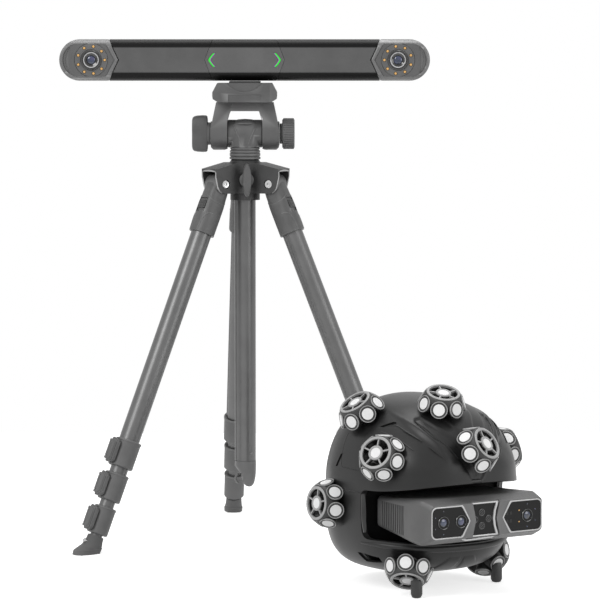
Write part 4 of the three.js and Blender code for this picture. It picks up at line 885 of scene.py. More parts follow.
def platform():
    half, base, top = 45.5, platform_base, platform_top
    right = [(half - 8, base), (half - 0.6, base + 4.5), (half, base + 9), (half, top - 13), (half - 7, top)]
    outline = [(-half + 8, base)] + right + [(-x, z) for x, z in reversed(right[1:])]
    crown = [(-half - 2, -32), (-half + 10, -40), (half - 10, -40), (half + 2, -32), (half + 2, 32),
             (half - 10, 40), (-half + 10, 40), (-half - 2, 32)]
    body = combine(prism(outline, -40, 40, "front"), prism(crown, base - 1, top + 1), "INTERSECT")
    channel = block(-22.3, 22.3, top - 6.3, top + 4, -28.3, 28.3, "front")
    body = rounded(combine(body, channel), 1.0, 3, 28)
    scoop = moved(turned([(31.8, 38.4), (33, 60)], 96), turn(90, "X"), at(z=top - 12.4 + 31.8))
    panel = block(-23, 23, base - 4, base + 11, -60, -39, "front")
    body = rounded(combine(combine(body, scoop), panel), 0.3, 2, 60)
    screw = [rod(4, base - 7, base + 2, 32)]
    for side in (-1, 1):
        wing = [(side * 2, base - 7), (side * 11, base - 4.6), (side * 12, base - 2), (side * 9, base - 0.4),
                (side * 2, base - 1.6)]
        screw.append(rounded(prism(wing, -1.6, 1.6, "front"), 0.7))
    return gather(painted(magnesium, body), painted(plate_rubber, moved(gather(*screw), at(-12, 6))))


def round_box(x, y, radius, steps, low=None):
    """A rectangle's outline with round corners: half its width and height inside them, and the radius."""
    low = -y if low is None else low
    return arc(x, y, radius, 0, 90, steps) + arc(-x, y, radius, 90, 180, steps) \
        + arc(-x, low, radius, 180, 270, steps) + arc(x, low, radius, 270, 360, steps)


def quick_plate():
    return rounded(prism(round_box(18.7, 24.7, 3.3, 6), platform_top - 6, platform_top + 2.6), 0.7)


placed(platform(), "platform", head_place, "tilt_head", "dark_casting", "head_platform")
placed(painted(plate_rubber, quick_plate()), "plate", head_place, "tilt_head", "black_rubber", "quick_plate")


# The tracker bar: an extruded housing with rounded long edges, satin black above and below and dark
# grey in front, with a pointed sleeve round its middle that carries two lit chevrons.
tracker_half = 261
bar_high = 29.25
bar_half_depth = 29
bar_corner = 14
cap_tip = 177
cap_shoulder = 191
cap_middle = tracker_half - bar_high
sleeve_half = 43.5
sleeve_tip = 56
lens_x = 216
tracker_axis = platform_top + 2.8 + 0.3 + bar_high


def banded_finish(name, face_level, edge_level, roughness):
    """Grey in front, near black where the surface turns up or down, as the painted housing shows."""
    material = finish(name, face_level, roughness, metallic=0.2, grain=0.15, grain_size=0.0005, mottle=0.03,
                      specular=0.2)
    tree = material.node_tree
    middle = (tilt_axis + tracker_axis) / 1000
    place = tree.nodes.new("ShaderNodeTexCoord").outputs["Object"]
    height = add_node(tree, "ShaderNodeSeparateXYZ", {0: place}).outputs["Z"]
    above = add_node(tree, "ShaderNodeMath", {0: height, 1: middle}, operation="SUBTRACT").outputs[0]
    away = add_node(tree, "ShaderNodeMath", {0: above}, operation="ABSOLUTE").outputs[0]
    limits = {"From Min": 0.0165, "From Max": 0.0185, "Value": away}
    band = add_node(tree, "ShaderNodeMapRange", limits).outputs["Result"]
    face = tree.nodes["Principled BSDF"].inputs["Base Color"].links[0].from_socket
    both = {"Factor": band, "A": face, "B": shade(edge_level)}
    blend = add_node(tree, "ShaderNodeMix", both, data_type="RGBA")
    add_node(tree, "Principled BSDF", {"Base Color": blend.outputs["Result"]})
    return material


def glowing(name, colour, strength):
    """A lit lamp's plastic."""
    return surfaced(name, {"Base Color": colour, "Roughness": 0.3, "Emission Color": colour,
                           "Emission Strength": strength})


bar_paint = banded_finish("bar housing", 98, 8, 0.38)
sleeve_paint = banded_finish("sleeve", 104, 12, 0.4)
# The caps' paler edges are a painted highlight round their rims.
cap_paint = finish("cap housing", 112, 0.38, metallic=0.2, grain=0.15, grain_size=0.0005, mottle=0.03,
                   edge_wear_and_highlight=0.3)
gloss_black = finish("gloss black", 22, 0.12, mottle=0.05, coat=0.5)
green_light = glowing("green light", (0.02, 0.42, 0.03, 1), 1.0)
violet_light = glowing("violet light", (0.2, 0.03, 0.26, 1), 0.5)


def bar_length(inset, end):
    """A length of the bar's section, a rounded square drawn in by the inset, to both sides."""
    flat_y, flat_z = bar_half_depth - inset - bar_corner, bar_high - inset - bar_corner
    return prism(round_box(flat_y, flat_z, bar_corner, 10), -end, end, "side")


def sleeve_front(spread=0.0):
    """The sleeve's front outline, pointed at both ends, through the whole depth of the bar."""
    tip, half, high = sleeve_tip + spread, sleeve_half + spread, bar_high + 4
    outline = [(tip, 0), (half, high), (-half, high), (-tip, 0), (-half, -high), (half, -high)]
    return prism(outline, -60, 60, "front")


def cap_front(spread=0.0):
    """The cap's front outline: a half round end and a point towards the middle."""
    radius = bar_high + spread
    return [(cap_tip - spread, 0), (cap_shoulder - spread, -radius)] \
        + arc(cap_middle, 0, radius, -90, 90, 48) + [(cap_shoulder - spread, radius)]


def tracker_bar():
    """The housing, cut to the caps' points at its ends and sunk where the sleeve lies."""
    bar = bar_length(0, cap_middle)
    for side in (1, -1):
        bar = combine(bar, prism([(side * x, z) for x, z in cap_front(0.35)], -60, 60, "front"))
    zone = combine(sleeve_front(0.35), bar_length(1.8, 300))
    return painted(bar_paint, rounded(combine(bar, zone), 0.35, 2, 40))


def chevron(width, half, point_out, near, x, side):
    """A pointed bracket with a soft nose, seen from the front, on one side of the sleeve."""
    edge = [(point_out * (1 - abs(share) ** 1.35), half * share) for share in [k / 8 for k in range(-8, 9)]]
    outline = [(x + out, z) for out, z in edge] + [(x + out - width, z) for out, z in reversed(edge)]
    bracket = prism(outline, near - bar_half_depth, 0.9 - bar_half_depth, "front")
    return moved(bracket, flip) if side < 0 else bracket


def tracker_sleeve():
    """A moulded sleeve round the bar; its two lamps are light guides set flush in its front."""
    sleeve = combine(combine(sleeve_front(), bar_length(0, 80), "INTERSECT"), bar_length(1.5, 80))
    for side in (1, -1):
        sleeve = combine(sleeve, chevron(4.4, 10, 7.0, -2, sleeve_half + 1, side))
    parts = [painted(sleeve_paint, rounded(sleeve, 0.4, 2, 40))]
    for side in (1, -1):
        parts.append(painted(green_light, chevron(2.5, 9.5, 6.8, 0.15, sleeve_half + 0.7, side)))
        parts.append(painted(violet_light, chevron(1.3, 9.5, 6.8, 0.1, sleeve_half - 1.7, side)))
    return gather(*parts)


# The end caps: moulded, with a round end, a sunk gloss face behind a raised rim, and a crescent groove
# where the face meets the round end. Each holds a camera in a ring of nine amber lamps.
def face_front(inset, near, far):
    """The sunk face with rounded corners at its shoulders, from one depth behind the front to another."""
    radius = bar_high - inset
    lean = math.degrees(math.atan2(cap_shoulder - cap_tip, bar_high)) / 2
    shoulder_x = cap_shoulder + inset * 0.62 + 5
    low = arc(shoulder_x, -radius + 6, 6, 180 + lean, 270, 6)
    high = arc(shoulder_x, radius - 6, 6, 90, 180 - lean, 6)
    outline = [(cap_tip + inset * 1.15, 0)] + low + arc(cap_middle, 0, radius, -90, 90, 48) + high
    return prism(outline, near - bar_half_depth, far - bar_half_depth, "front")


def end_cap():
    """The right cap: the rim, the sunk face with its gutter, and the plate round the lens."""
    body = rounded(prism(cap_front(), -bar_half_depth, bar_half_depth, "front"), 3, 4, 50)
    section = moved(bar_length(0, (tracker_half - cap_tip + 25) / 2), at((tracker_half + cap_tip - 15) / 2))
    body = combine(body, section, "INTERSECT")
    body = combine(combine(body, face_front(4.6, -31, 1.2)), face_front(5.2, -31, 2.4))
    seat = moved(rod(23.8, -60, 60, 96), turn(90, "X"), at(lens_x))
    plate = rounded(combine(face_front(6.0, 1.0, 4), seat), 0.4, 2, 40)
    bow = [k / 10 for k in range(-10, 11)]
    crescent = [(cap_middle + 13.2 + 7.1 * (1 - k * k), 20.5 * k) for k in bow] \
        + [(cap_middle + 13.0 + 2.8 * (1 - k * k), 20.5 * k) for k in reversed(bow)]
    plate = combine(plate, prism(crescent, -60, -bar_half_depth + 3.4, "front"))
    return gather(painted(cap_paint, rounded(body, 0.4, 2, 40)), painted(cap_face, plate))


def coated_glass(name):
    """Lens glass with a blue and violet coating that shows in its dome."""
    material = surfaced(name, {"Roughness": 0.06, "Coat Weight": 0.8, "Coat Roughness": 0.03})
    tree = material.node_tree
    place = tree.nodes.new("ShaderNodeTexCoord").outputs["Object"]
    bands = add_node(tree, "ShaderNodeTexNoise", {"Scale": 90, "Vector": place}).outputs["Fac"]
    ramp = add_node(tree, "ShaderNodeValToRGB", {"Fac": bands})
    first, last = ramp.color_ramp.elements
    first.position = 0.35
    first.color = (0.004, 0.006, 0.012, 1)
    last.position = 0.7
    last.color = (0.06, 0.05, 0.16, 1)
    ramp.color_ramp.elements.new(0.52).color = (0.012, 0.03, 0.085, 1)
    add_node(tree, "Principled BSDF", {"Base Color": ramp.outputs["Color"]})
    return material


cap_face = finish("cap face", 94, 0.36, grain=0.1, mottle=0.05)
ring_plate_paint = finish("lamp ring plate", 102, 0.4, metallic=0.2, grain=0.15, mottle=0.06)
pale_ring = finish("pale ring", 205, 0.4, grain=0.1, mottle=0.03)
lens_coating = coated_glass("coated glass")
amber_lamp = glowing("amber lamp", (0.62, 0.36, 0.12, 1), 0.35)


def camera_glass(radius, rise, height):
    """A domed front element that stands at a height in its barrel."""
    dome = [(radius * math.sin(math.radians(a)), rise * math.cos(math.radians(a))) for a in range(88, 0, -8)]
    return painted(lens_coating, moved(turned([(radius * 0.98, -1.5)] + dome + [(0, rise)]), at(z=height)))


def tracker_lens():
    """A plate with nine lamps in cups round a stepped barrel, a pale ring and the domed glass."""
    seat = 4.0
    lamp_circle = 19.2
    plate = turned([(22.8, 0.5), (23.4, 1), (23.4, seat - 0.4), (22.9, seat), (15.2, seat), (14.8, seat - 0.8),
                    (13, seat - 0.8)], 96)
    barrel = turned([(13.6, 0.6), (13.6, seat + 2.4), (12.9, seat + 3), (11.6, seat + 3), (11.2, seat + 2.4),
                     (11.2, 1)], 96)
    pale = turned([(11.1, 1), (11.1, seat + 2.1), (10.6, seat + 2.3), (9.6, seat + 1.6), (9.4, seat + 0.4),
                   (9.4, 1)], 96)
    dark = turned([(9.3, 1), (9.3, seat + 1.2), (6.6, seat + 0.2), (6.2, seat - 0.8), (6.2, 1)], 96)
    lamp = turned([(1.75, seat - 1), (1.75, seat + 0.2), (1.2, seat + 0.9), (0, seat + 1.2)], 20)
    cup = turned([(2.5, seat - 1), (2.5, seat + 0.35), (2.1, seat + 0.45), (1.9, seat + 0.1),
                  (1.9, seat - 1)], 24)
    glass = camera_glass(6.1, 2.2, seat - 0.9)
    lamps, cups = ring_of(lamp, amber_lamp, 9, lamp_circle), ring_of(cup, gloss_black, 9, lamp_circle)
    return gather(painted(ring_plate_paint, plate), painted(gloss_black, barrel), painted(pale_ring, pale),
                  painted(gloss_black, dark), glass, lamps, cups)


tracker_place = head_place @ at(z=tracker_axis / 1000)
placed(tracker_bar(), "bar", tracker_place, "tilt_head", "bar_housing", "tracker_bar")
placed(tracker_sleeve(), "sleeve", tracker_place, "tilt_head", "cap_housing", "tracker_sleeve")
right_cap = end_cap()
left_cap = moved(copy_of(right_cap), flip)
lens_depth = (-bar_half_depth + 1.2 + 4) / 1000
placed(right_cap, "cap", tracker_place, "tilt_head", "cap_housing", "tracker_end_cap_right")
placed(left_cap, "left_cap", tracker_place, "tilt_head", "cap_housing", "tracker_end_cap_left")
for name, side, way, spin in (("lens", "right", 1, 180), ("lens.001", "left", -1, 0)):
    lens_place = tracker_place @ at(way * lens_x / 1000, lens_depth) @ turn(90, "X") @ turn(spin, "Z")
    placed(tracker_lens(), name, lens_place, "tilt_head", "lens_glass", f"tracker_lens_{side}")


# The hand unit's shell: two satin black ABS mouldings like a small helmet, screwed together at a seam,
# with a wide mouth in front, styling creases that sweep to the visor, and an open back for the hand.
hand_place = set_place @ at(0.226, -0.383, 0.126) @ turn(32.5, "Z")
shell_wall = 3.5
seam_height = 5
satin_black = finish("satin black plastic", 30, 0.38, grain=0.12, mottle=0.05, edge_wear_and_highlight=0.2, specular=0.35)
# Painted light: a pale grey laid over the shaded end faces of the mouth's rim.
painted_light_grey = finish("jamb strip painted light", 92, 0.42, grain=0.15, mottle=0.04, specular=0.4)
inner_black = finish("inner black plastic", 14, 0.7, mottle=0.04, specular=0.1)


def ease(value, low, high):
    """Rises softly from 0 at the low value to 1 at the high one."""
    share = min(1, max(0, (value - low) / (high - low)))
    return share * share * (3 - 2 * share)


def skin_reach(direction):
    """How far the plain skin lies from the ball's middle in a direction: a deep visor in front, a
    shallower chin, a round back and a squarer, flat-bottomed lower half."""
    x, y, z = direction
    up = ease(z, -0.4, 0.4)
    depth = 124 + 23 * up if y < 0 else 113
    height = 121 if z > 0 else 105
    power = 3.8 - 1.4 * up
    plan = 2 + 0.5 * ease(-y, -0.4, 0.4)
    across = (abs(x) / 115) ** plan + (abs(y) / depth) ** plan
    return (across ** (power / plan) + (abs(z) / height) ** power) ** (-1 / power)


def on_skin(point, proud=0.0):
    """The point of the plain skin that lies in the direction of a point, raised by the last number."""
    way = Vector(point).normalized()
    return way * (skin_reach(way) + proud)


def eased_path(*points):
    """A smooth line on the skin through a few points of it, in ten steps from each to the next."""
    path = []
    for i in range(len(points) - 1):
        before, start = Vector(points[max(i - 1, 0)]), Vector(points[i])
        end, after = Vector(points[i + 1]), Vector(points[min(i + 2, len(points) - 1)])
        for k in range(10 if i < len(points) - 2 else 11):
            t = k / 10
            path.append(0.5 * (2 * start + (end - before) * t
                               + (2 * before - 5 * start + 4 * end - after) * t * t
                               + (3 * start - 3 * end + after - before) * t ** 3))
    return [on_skin(point) for point in path]


# The creases of the left half, from the back to the visor. The right half mirrors them.
brow_edge = eased_path((-60, -25, 110), (-64, -49, 103), (-62, -74, 97), (-58.6, -90, 91), (-55.8, -101, 85),
                       (-49, -116, 75), (-42, -128, 62), (-36, -136, 48))
channel_near = eased_path((-54, -76, 100), (-55.3, -85, 96), (-53, -97, 90), (-47, -113, 79.5),
                          (-38, -123, 71), (-31.6, -130, 63), (-23.4, -138, 50), (-9.9, -142, 27.5))
channel_far = eased_path((-52, -74, 101.5), (-46.4, -80, 102), (-44, -89, 98), (-39.4, -100.5, 93),
                         (-35, -109, 87), (-22, -125, 74), (-12, -136, 58), (-4, -142, 40))
spine_edge = eased_path((-31, -40, 117), (-28.4, -77, 107.7), (-24.6, -93, 101), (-18.6, -104, 94.6),
                        (-12, -117, 84), (-7, -130, 68), (-3, -138, 50))


def off_line(point, line):
    """The distance from a line on the skin, above zero on its right, and the share of its length there."""
    best = (1e9, 0)
    for i in range(0, len(line) - 1, 3):
        start, end = line[i], line[min(i + 3, len(line) - 1)]
        along = end - start
        share = min(1, max(0, (point - start).dot(along) / along.length_squared))
        gap = point - start - along * share
        if gap.length < abs(best[0]):
            best = (math.copysign(gap.length, along.cross(gap).dot(point)), (i + 3 * share) / (len(line) - 1))
    return best


def relief(point):
    """The creases and swellings of the upper shell, in millimetres above the plain skin."""
    x, y, z = point
    wide = abs(x)
    lip = 20 + (y + 144) * -0.13
    crown = 2.0 * math.exp(-((y - 22) / 46) ** 2 - (wide / 44) ** 2) * ease(z, 60, 110)
    brim = 2.2 * math.exp(-max(0, z - lip) / 8) * ease(-y, 50, 90) * ease(z, 0, 12)
    if y > 0 or z < 18 or wide > 95:
        return crown + brim
    left = Vector((-wide, y, z))
    ridge, share = off_line(left, brow_edge)
    brow = 1.5 * math.exp(-(ridge / 2.2) ** 2) * ease(share, 0.0, 0.35) * (1 - ease(share, 0.75, 1))
    fade = ease(share, 0.1, 0.5) * (1 - ease(share, 0.8, 1))
    hollow = -1.8 * ease(-ridge, 0, 9) * (1 - ease(-ridge, 10, 46)) * fade
    near, near_share = off_line(left, channel_near)
    far = off_line(left, channel_far)[0]
    trough = -2.2 * ease(near, -0.4, 1.3) * ease(-far, -0.4, 1.6) * ease(near_share, 0.02, 0.1)
    side, spine_share = off_line(left, spine_edge)
    spine = 1.6 * ease(side, -1.2, 1.2) * ease(spine_share, 0, 0.3) * (1 - ease(spine_share, 0.82, 1))
    return crown + brim + brow + hollow + trough + spine


def way_to(tilt, sweep):
    """The direction at a height angle and an angle round from the front."""
    return Vector((math.cos(tilt) * math.sin(sweep), -math.cos(tilt) * math.cos(sweep), math.sin(tilt)))


def ball(inset, rows=36, columns=60, shaped=False):
    """A closed skin over the ball, drawn inwards by the inset. The shaped one has the creases, and its
    columns crowd to the front, where they are."""
    points = [(0, 0, -skin_reach((0, 0, -1)) + inset)]
    for r in range(1, rows):
        tilt = -math.pi / 2 + math.pi * r / rows
        for c in range(columns):
            sweep = math.tau * c / columns
            if shaped:
                sweep -= 0.42 * math.sin(sweep)
            way = way_to(tilt, sweep)
            reach = skin_reach(way)
            if shaped:
                reach += relief(way * reach)
            points.append(way * (reach - inset))
    points.append((0, 0, skin_reach((0, 0, 1)) - inset + (relief(Vector((0, 0, 121))) if shaped else 0)))
    last = len(points) - 1
    faces = []
    for c in range(columns):
        d = (c + 1) % columns
        faces.append([0, 1 + d, 1 + c])
        faces.append([last, last - columns + c, last - columns + d])
        for r in range(rows - 2):
            a, b = 1 + r * columns + c, 1 + r * columns + d
            faces.append([a, b, b + columns, a + columns])
    return piece_from(points, faces)


def bent(start, middle, end, steps=8):
    """Points along a curve that leaves the start and reaches the end, bending towards the middle."""
    return [tuple((1 - t) ** 2 * a + 2 * t * (1 - t) * b + t * t * c for a, b, c in zip(start, middle, end))
            for t in [k / steps for k in range(steps + 1)]]


def mouth_side(spread, end):
    """The mouth seen from the side (y, z): a drooping upper lip, a curved jamb and the lower lip."""
    back, high, low = -44 + spread, 9 + spread, -55 - spread
    upper = bent((-150, 22 + spread), (-100, high), (-56, high), 14)
    jamb = bent((-56, high), (back, high), (back, -3))[1:] + bent((back, -43), (back, low), (-56, low))
    lower = bent((-56, low), (-100, low), (-150, -65 - spread), 14)[1:]
    return prism(upper + jamb + lower, -end, end, "side")


def open_ball():
    """The whole shell: hollow, with the mouth and its thick rim, and the oval opening behind."""
    rim = combine(mouth_side(3.2, 170), ball(8.5))
    shell = combine(ball(0, 190, 270, True), combine(ball(shell_wall), rim))
    oval = [(62 * x, 2 + 64 * z) for x, z in circle(1, 72)]
    return combine(combine(shell, mouth_side(0, 180)), prism(oval, 35, 150, "front"))


def shell_half(whole, low, high):
    """Keeps what lies between two heights."""
    return combine(copy_of(whole), block(-190, 190, -190, 190, low, high), "INTERSECT")


whole_shell = open_ball()
upper_shell = shell_half(whole_shell, seam_height + 0.25, 190)
lower_shell = shell_half(whole_shell, -190, seam_height - 0.25)
bpy.data.objects.remove(whole_shell)


def mirrored(points):
    return [Vector((-x, y, z)) for x, y, z in points]


def cut_both(piece, depth, *corners):
    """Cuts a blind pocket to a depth under the skin's points at the corners, and its mirror image."""
    for side in (list, mirrored):
        outline = side(corners)
        pocket = lofted([[on_skin(corner, proud) for corner in outline] for proud in (-depth, 6)])
        piece = combine(piece, pocket)
    return piece


upper_shell = cut_both(upper_shell, 2.6, (-84.5, -46.5, 88), (-72.5, -60.5, 95), (-70.5, -64, 95),
                       (-72.5, -67, 92.2), (-83, -52.5, 87.6))
upper_shell = cut_both(upper_shell, 2.4, (-107.8, 1.6, 50.5), (-110.2, 2.6, 45.5), (-112.6, 8.6, 33),
                       (-112.2, 13, 33.4), (-110.8, 9, 42), (-109, 6, 49))
lower_shell = cut_both(lower_shell, 12, (-104.5, -26, -74.5), (-94, -32, -87), (-88, -60, -85.5),
                       (-94.5, -60.5, -78.5), (-103, -38, -74.6))
panel_line = eased_path((-98, 5.5, 76), (-106, 4, 56), (-112, -1, 36), (-113, -16, 33.4), (-111.6, -40, 32.6))
panel_cuts = [swept(line, 0.45, 8, taper=False) for line in (panel_line, mirrored(panel_line))]
upper_shell = combine(upper_shell, gather(*panel_cuts))


def raised_line(radius, *points):
    """A thin raised crease beside the brow, and its mirror image."""
    line = [point.normalized() * (point.length - radius * 0.45) for point in eased_path(*points)]
    return [swept(path, radius, 8, 0.8) for path in (line, mirrored(line))]


def lip_path(lip_height, proud, reach):
    """Points along the mouth's edge from left to right, where a lip with that height meets the skin."""
    path = []
    for i in range(121):
        sweep = math.radians(-reach + 2 * reach * i / 120)
        tilt = 0.0
        for _ in range(8):
            way = way_to(tilt, sweep)
            point = way * skin_reach(way)
            share = min(1, max(0, (-56 - point.y) / 94))
            tilt += math.atan2(lip_height(share) - point.z, math.hypot(point.x, point.y))
        path.append(on_skin(point, proud))
    return path


def jamb_strip(side):
    """A pale strip down a jamb of the mouth, on the end of the thick rim: painted light over an end face that
    the visor shades.
    """
    rings = []
    for k in range(15):
        z = 6.5 - 53 * k / 14
        x = on_skin((side * 112, -45.5, z)).x - side * 0.6
        y = -44.2 - 2.6 * ease(-z, 30, 46)
        inner = x + side * 0.6 - side * 7.6 * math.sin(math.pi * (0.06 + 0.9 * k / 14)) ** 0.35
        rings.append([(x, y - 1.0, z), (inner, y - 1.0, z), (inner, y + 0.6, z), (x, y + 0.6, z)])
    return rounded(lofted(rings), 0.35)


def chin_panel(side):
    """One half of the raised panel under the bumper, with a slanted side; a joint parts the halves."""
    rings = []
    for drop in [height / 7 for height in range(8)]:
        inner, outer = [], []
        for share in [k / 9 for k in range(10)]:
            point = (side * (0.7 + (19 + 18 * drop) * share), -114 + 22 * drop, -76 - 19 * drop)
            swell = 2.4 * ease(share, 0, 0.12) * (1 - ease(share, 0.86, 1)) * ease(drop, 0, 0.2)
            outer.append(on_skin(point, swell - 1.2))
            inner.append(on_skin(point, -3.4))
        rings.append(outer + inner[::-1])
    return lofted(rings)


def inner_cover():
    """A black inner wall behind the camera module that keeps light out of the mouth."""
    wall = combine(block(-38, -34, -110, 125, -130, 130, "side"), ball(shell_wall - 0.4), "INTERSECT")
    parts = [combine(wall, block(-15.5, 15.5, -38.5, -7.5, -60, 0, "front"))]
    for x in (-70, -44, 44, 70):
        high = math.sqrt(1 - (x / 104) ** 2) * 92
        rib = [(-34.5, -high * 0.82), (-28, -high * 0.76), (-28, high * 0.86), (-34.5, high * 0.92)]
        parts.append(prism(rib, x - 1, x + 1, "side"))
    return painted(inner_black, *parts)


peg = turned([(0, -126), (3, -126), (5.5, -125), (7, -122), (7, -60)], 32)
peg = combine(moved(peg, at(18, 70)), ball(1.8))
lip_bead = swept(lip_path(lambda share: 11.6 + 13 * share ** 2, -1.2, 66), 3.2, 14, 0.8)
bumper = swept(lip_path(lambda share: -60.5 - 9 * share ** 1.3, -0.8, 70), 4.8, 16, 0.8)
creases = [
    *raised_line(1.1, (-83, -52.5, 87.4), (-74, -68, 91), (-71, -84.5, 85.4), (-66, -99, 79.4),
                 (-61, -109, 74)),
    *raised_line(0.9, (-87.6, -49, 84), (-85, -70, 79), (-79, -93, 71), (-73.5, -107, 63)),
    *raised_line(0.7, (-57, -117, 68.4), (-50, -126.4, 59.4), (-38.7, -135, 48.5)),
    *raised_line(0.8, (-55, -84, 96.4), (-53, -97, 90), (-47, -113, 79.5), (-38, -123, 71), (-31.6, -130, 63),
                 (-25, -136.6, 52)),
]
upper_shell = painted(satin_black, rounded(upper_shell, 0.6, 2, 46), lip_bead, *creases)
chin = [chin_panel(-1), chin_panel(1)]
lower_shell = painted(satin_black, rounded(lower_shell, 0.6, 2, 46), bumper, *chin, peg)
# The jamb strips are painted light, pale grey over the rim's shaded end faces.
lower_shell = gather(lower_shell, painted(painted_light_grey, jamb_strip(-1), jamb_strip(1)), inner_cover())
placed(upper_shell, "shell_top", hand_place, "stand", "shell_plastic", "shell_upper", degrees=38)
placed(lower_shell, "shell_base", hand_place, "stand", "shell_plastic", "shell_lower", degrees=38)


# The camera module: a cast magnesium box that swells towards its front, with two gloss black windows in
# bright frames, a sunk middle with four round windows, and cooling slots in its sides.
module_front = -165
module_middle = -23
module_face = at(0, module_front, module_middle) @ turn(90, "X")
grain_metal = finish("grained magnesium", 92, 0.5, metallic=0.3, grain=0.7, grain_size=0.0009, mottle=0.04,
                     edge_wear_and_highlight=0.3)
bright_frame = finish("bright frame", 158, 0.35, metallic=0.6, grain=0.15, mottle=0.04, edge_wear_and_highlight=0.4)
window_black = finish("window black", 20, 0.3, mottle=0.03, specular=0.2)
slot_dark = finish("slot dark", 14, 0.7, mottle=0.05)
round_window = finish("round window", 78, 0.3, mottle=0.05)


def on_front(outline, back, front):
    """A prism over an outline about the module's middle, between two depths behind its front."""
    outline = [(x, z + module_middle) for x, z in outline]
    return prism(outline, module_front + back, module_front + front, "front")


def window(side, inset, back, front):
    """A window's prism, square outside and pointed towards the module's middle, drawn in by the inset."""
    tip = (-26 if side < 0 else 24) + side * inset * 1.2
    outer, high, corner = side * (86 - inset), 20.5 - inset, 7.5 - inset * 0.6
    near = tip + side * 11
    upper = [(near - side * 0.8, high - 2.0), (near + side * 1.2, high)]
    upper_corner = [(outer - side * corner + side * dx, high - corner + dz)
                    for dx, dz in arc(0, 0, corner, 90, 0, 7)]
    lower_corner = [(x, -z) for x, z in reversed(upper_corner)]
    lower = [(x, -z) for x, z in reversed(upper)]
    nose = [(tip + side * 0.9, -2.0), (tip + side * 0.2, 0), (tip + side * 0.9, 2.0)]
    return on_front(upper + upper_corner + lower_corner + lower + nose, back, front)


def module_case():
    """The box, its sunk middle, the pockets of the windows, the cooling slots and the neck behind."""
    rings = [(-44, 84, -38, -3, 7), (-47, 87.5, -41.5, 0.2, 7), (-90, 90.5, -46, 1.2, 6),
             (-128, 93, -51, 3.0, 6), (-143, 91.4, -53.2, 4.2, 6), (-147, 90.6, -52, 3.4, 6),
             (-163.4, 87.4, -45.2, -0.8, 6), (-165, 86.4, -44.2, -1.8, 6)]
    body = lofted([[(x, y, z) for x, z in round_box(half - corner, high - corner, corner, 8, low + corner)]
                   for y, half, low, high, corner in rings])
    dip = [(-30, -30), (-22.5, -23), (-17, 0), (-22.5, 23), (-30, 32), (28, 32), (20.5, 23), (15, 0),
           (20.5, -23), (28, -30)]
    body = combine(body, on_front(dip, -35, 4.5))
    for side in (-1, 1):
        body = combine(body, window(side, 1.4, -35, 1.6))
        vents = []
        for i in range(12):
            y = -112 + i * 4.6
            slot = [(y, -43), (y + 2.1, -43), (y + 2.7, -6), (y + 0.6, -6)]
            vents.append(prism(slot, *sorted((side * 84, side * 110)), "side"))
        body = combine(body, gather(*vents))
    neck = block(-15, 15, -38, -8, -46, 12, "front")
    return painted(grain_metal, rounded(gather(body, neck), 0.6, 2, 35))


def module_frames():
    """The bright frames round the two windows, the straps over and under the middle, and its bow."""
    frames = []
    for side in (-1, 1):
        frames.append(rounded(combine(window(side, 0, -0.7, 1.4), window(side, 1.7, -4, 4)), 0.5, 2, 50))
    for rise in (20.6, -20.6):
        frames.append(rounded(on_front(oblong(-24, 22, rise - 0.9, rise + 0.9), 2.4, 5.2), 0.4))
    bow = [(15.5, 20), (19, 20), (15.4, 10), (14, 0), (15.4, -10), (19, -20), (15.5, -20), (12, -10),
           (10.6, 0), (12, 10)]
    return painted(bright_frame, *frames, rounded(on_front(bow, 1.6, 5), 0.6))


def striped_window(x, z, crossed):
    """A round window with a rim and four slanted stripes, or two crossed ones."""
    parts = [turned([(4.6, 0), (4.6, 0.7), (4.2, 0.9), (3.8, 0.7), (3.8, 0)], 40, hoop=True)]
    for i, angle in enumerate([45, -45] if crossed else [-32] * 4):
        rise = 0 if crossed else (i - 1.5) * 1.7
        long = 3.5 if crossed else math.sqrt(max(0.4, 14 - rise * rise))
        parts.append(moved(block(-long, long, rise - 0.32, rise + 0.32, 0, 0.55), turn(angle, "Z")))
    return moved(gather(*parts), module_face @ at(x, z, -3.7))


def module_windows():
    """Gloss black plates, and the middle plate with its round windows: one crossed and three striped."""
    plates = [rounded(window(side, 1.8, 0.5, 2.4), 0.3) for side in (-1, 1)]
    plates.append(on_front([(-25, -19.5), (14, -19.5), (10.5, 0), (14, 19.5), (-25, 19.5), (-22, 0)], 3.6, 6))
    rounds = [striped_window(-16.5, 0, True), striped_window(-6, 8.5, False), striped_window(-6, -8.5, False),
              striped_window(4.5, 0, False)]
    parts = [painted(window_black, *plates), painted(round_window, *rounds)]
    for z in (4.6, -5.4):
        for x in (29.5, 34.8):
            pane = block(x, x + 4, z - 2, z + 2, -0.4, 0.2)
            parts.append(painted(slot_dark, moved(pane, module_face)))
    # Lamps round the outer lenses: four on the left and six on the right, two of them amber.
    for lens, angles in ((-67, (90, 150, 210, 270)), (63, (30, 90, 150, 210, 270, 330))):
        for angle in angles:
            lamp = turned([(0.9, 0), (0.8, 0.5), (0, 0.8)], 12)
            spot = (lens + 14.5 * math.cos(math.radians(angle)), 14.5 * math.sin(math.radians(angle)), -0.6)
            colour = amber_lamp if lens > 0 and angle in (150, 210) else lens_coating
            parts.append(painted(colour, moved(lamp, module_face @ at(*spot))))
    return gather(*parts)


def module_tongue():
    """A curved bright tongue under the middle, the catch of the module's lower cover."""
    outline = [(-36, -46.5), (-30, -49.5), (12, -48.2), (18, -45.6), (18, -44.2), (10, -46.4), (-28, -47.4),
               (-35, -45)]
    return painted(bright_frame, rounded(prism(outline, -160, -120, "front"), 0.4))


def module_lens():
    """A gloss barrel with a stepped edge and its domed glass."""
    seat = 5.0
    barrel = turned([(8.6, 0.4), (8.6, seat + 0.3), (8.2, seat + 0.9), (7.4, seat + 0.6), (6.6, seat - 1),
                     (6.4, seat - 2), (6.4, 0.5)], hoop=True)
    return gather(painted(gloss_black, barrel), camera_glass(6.3, 2.6, seat - 2.0))


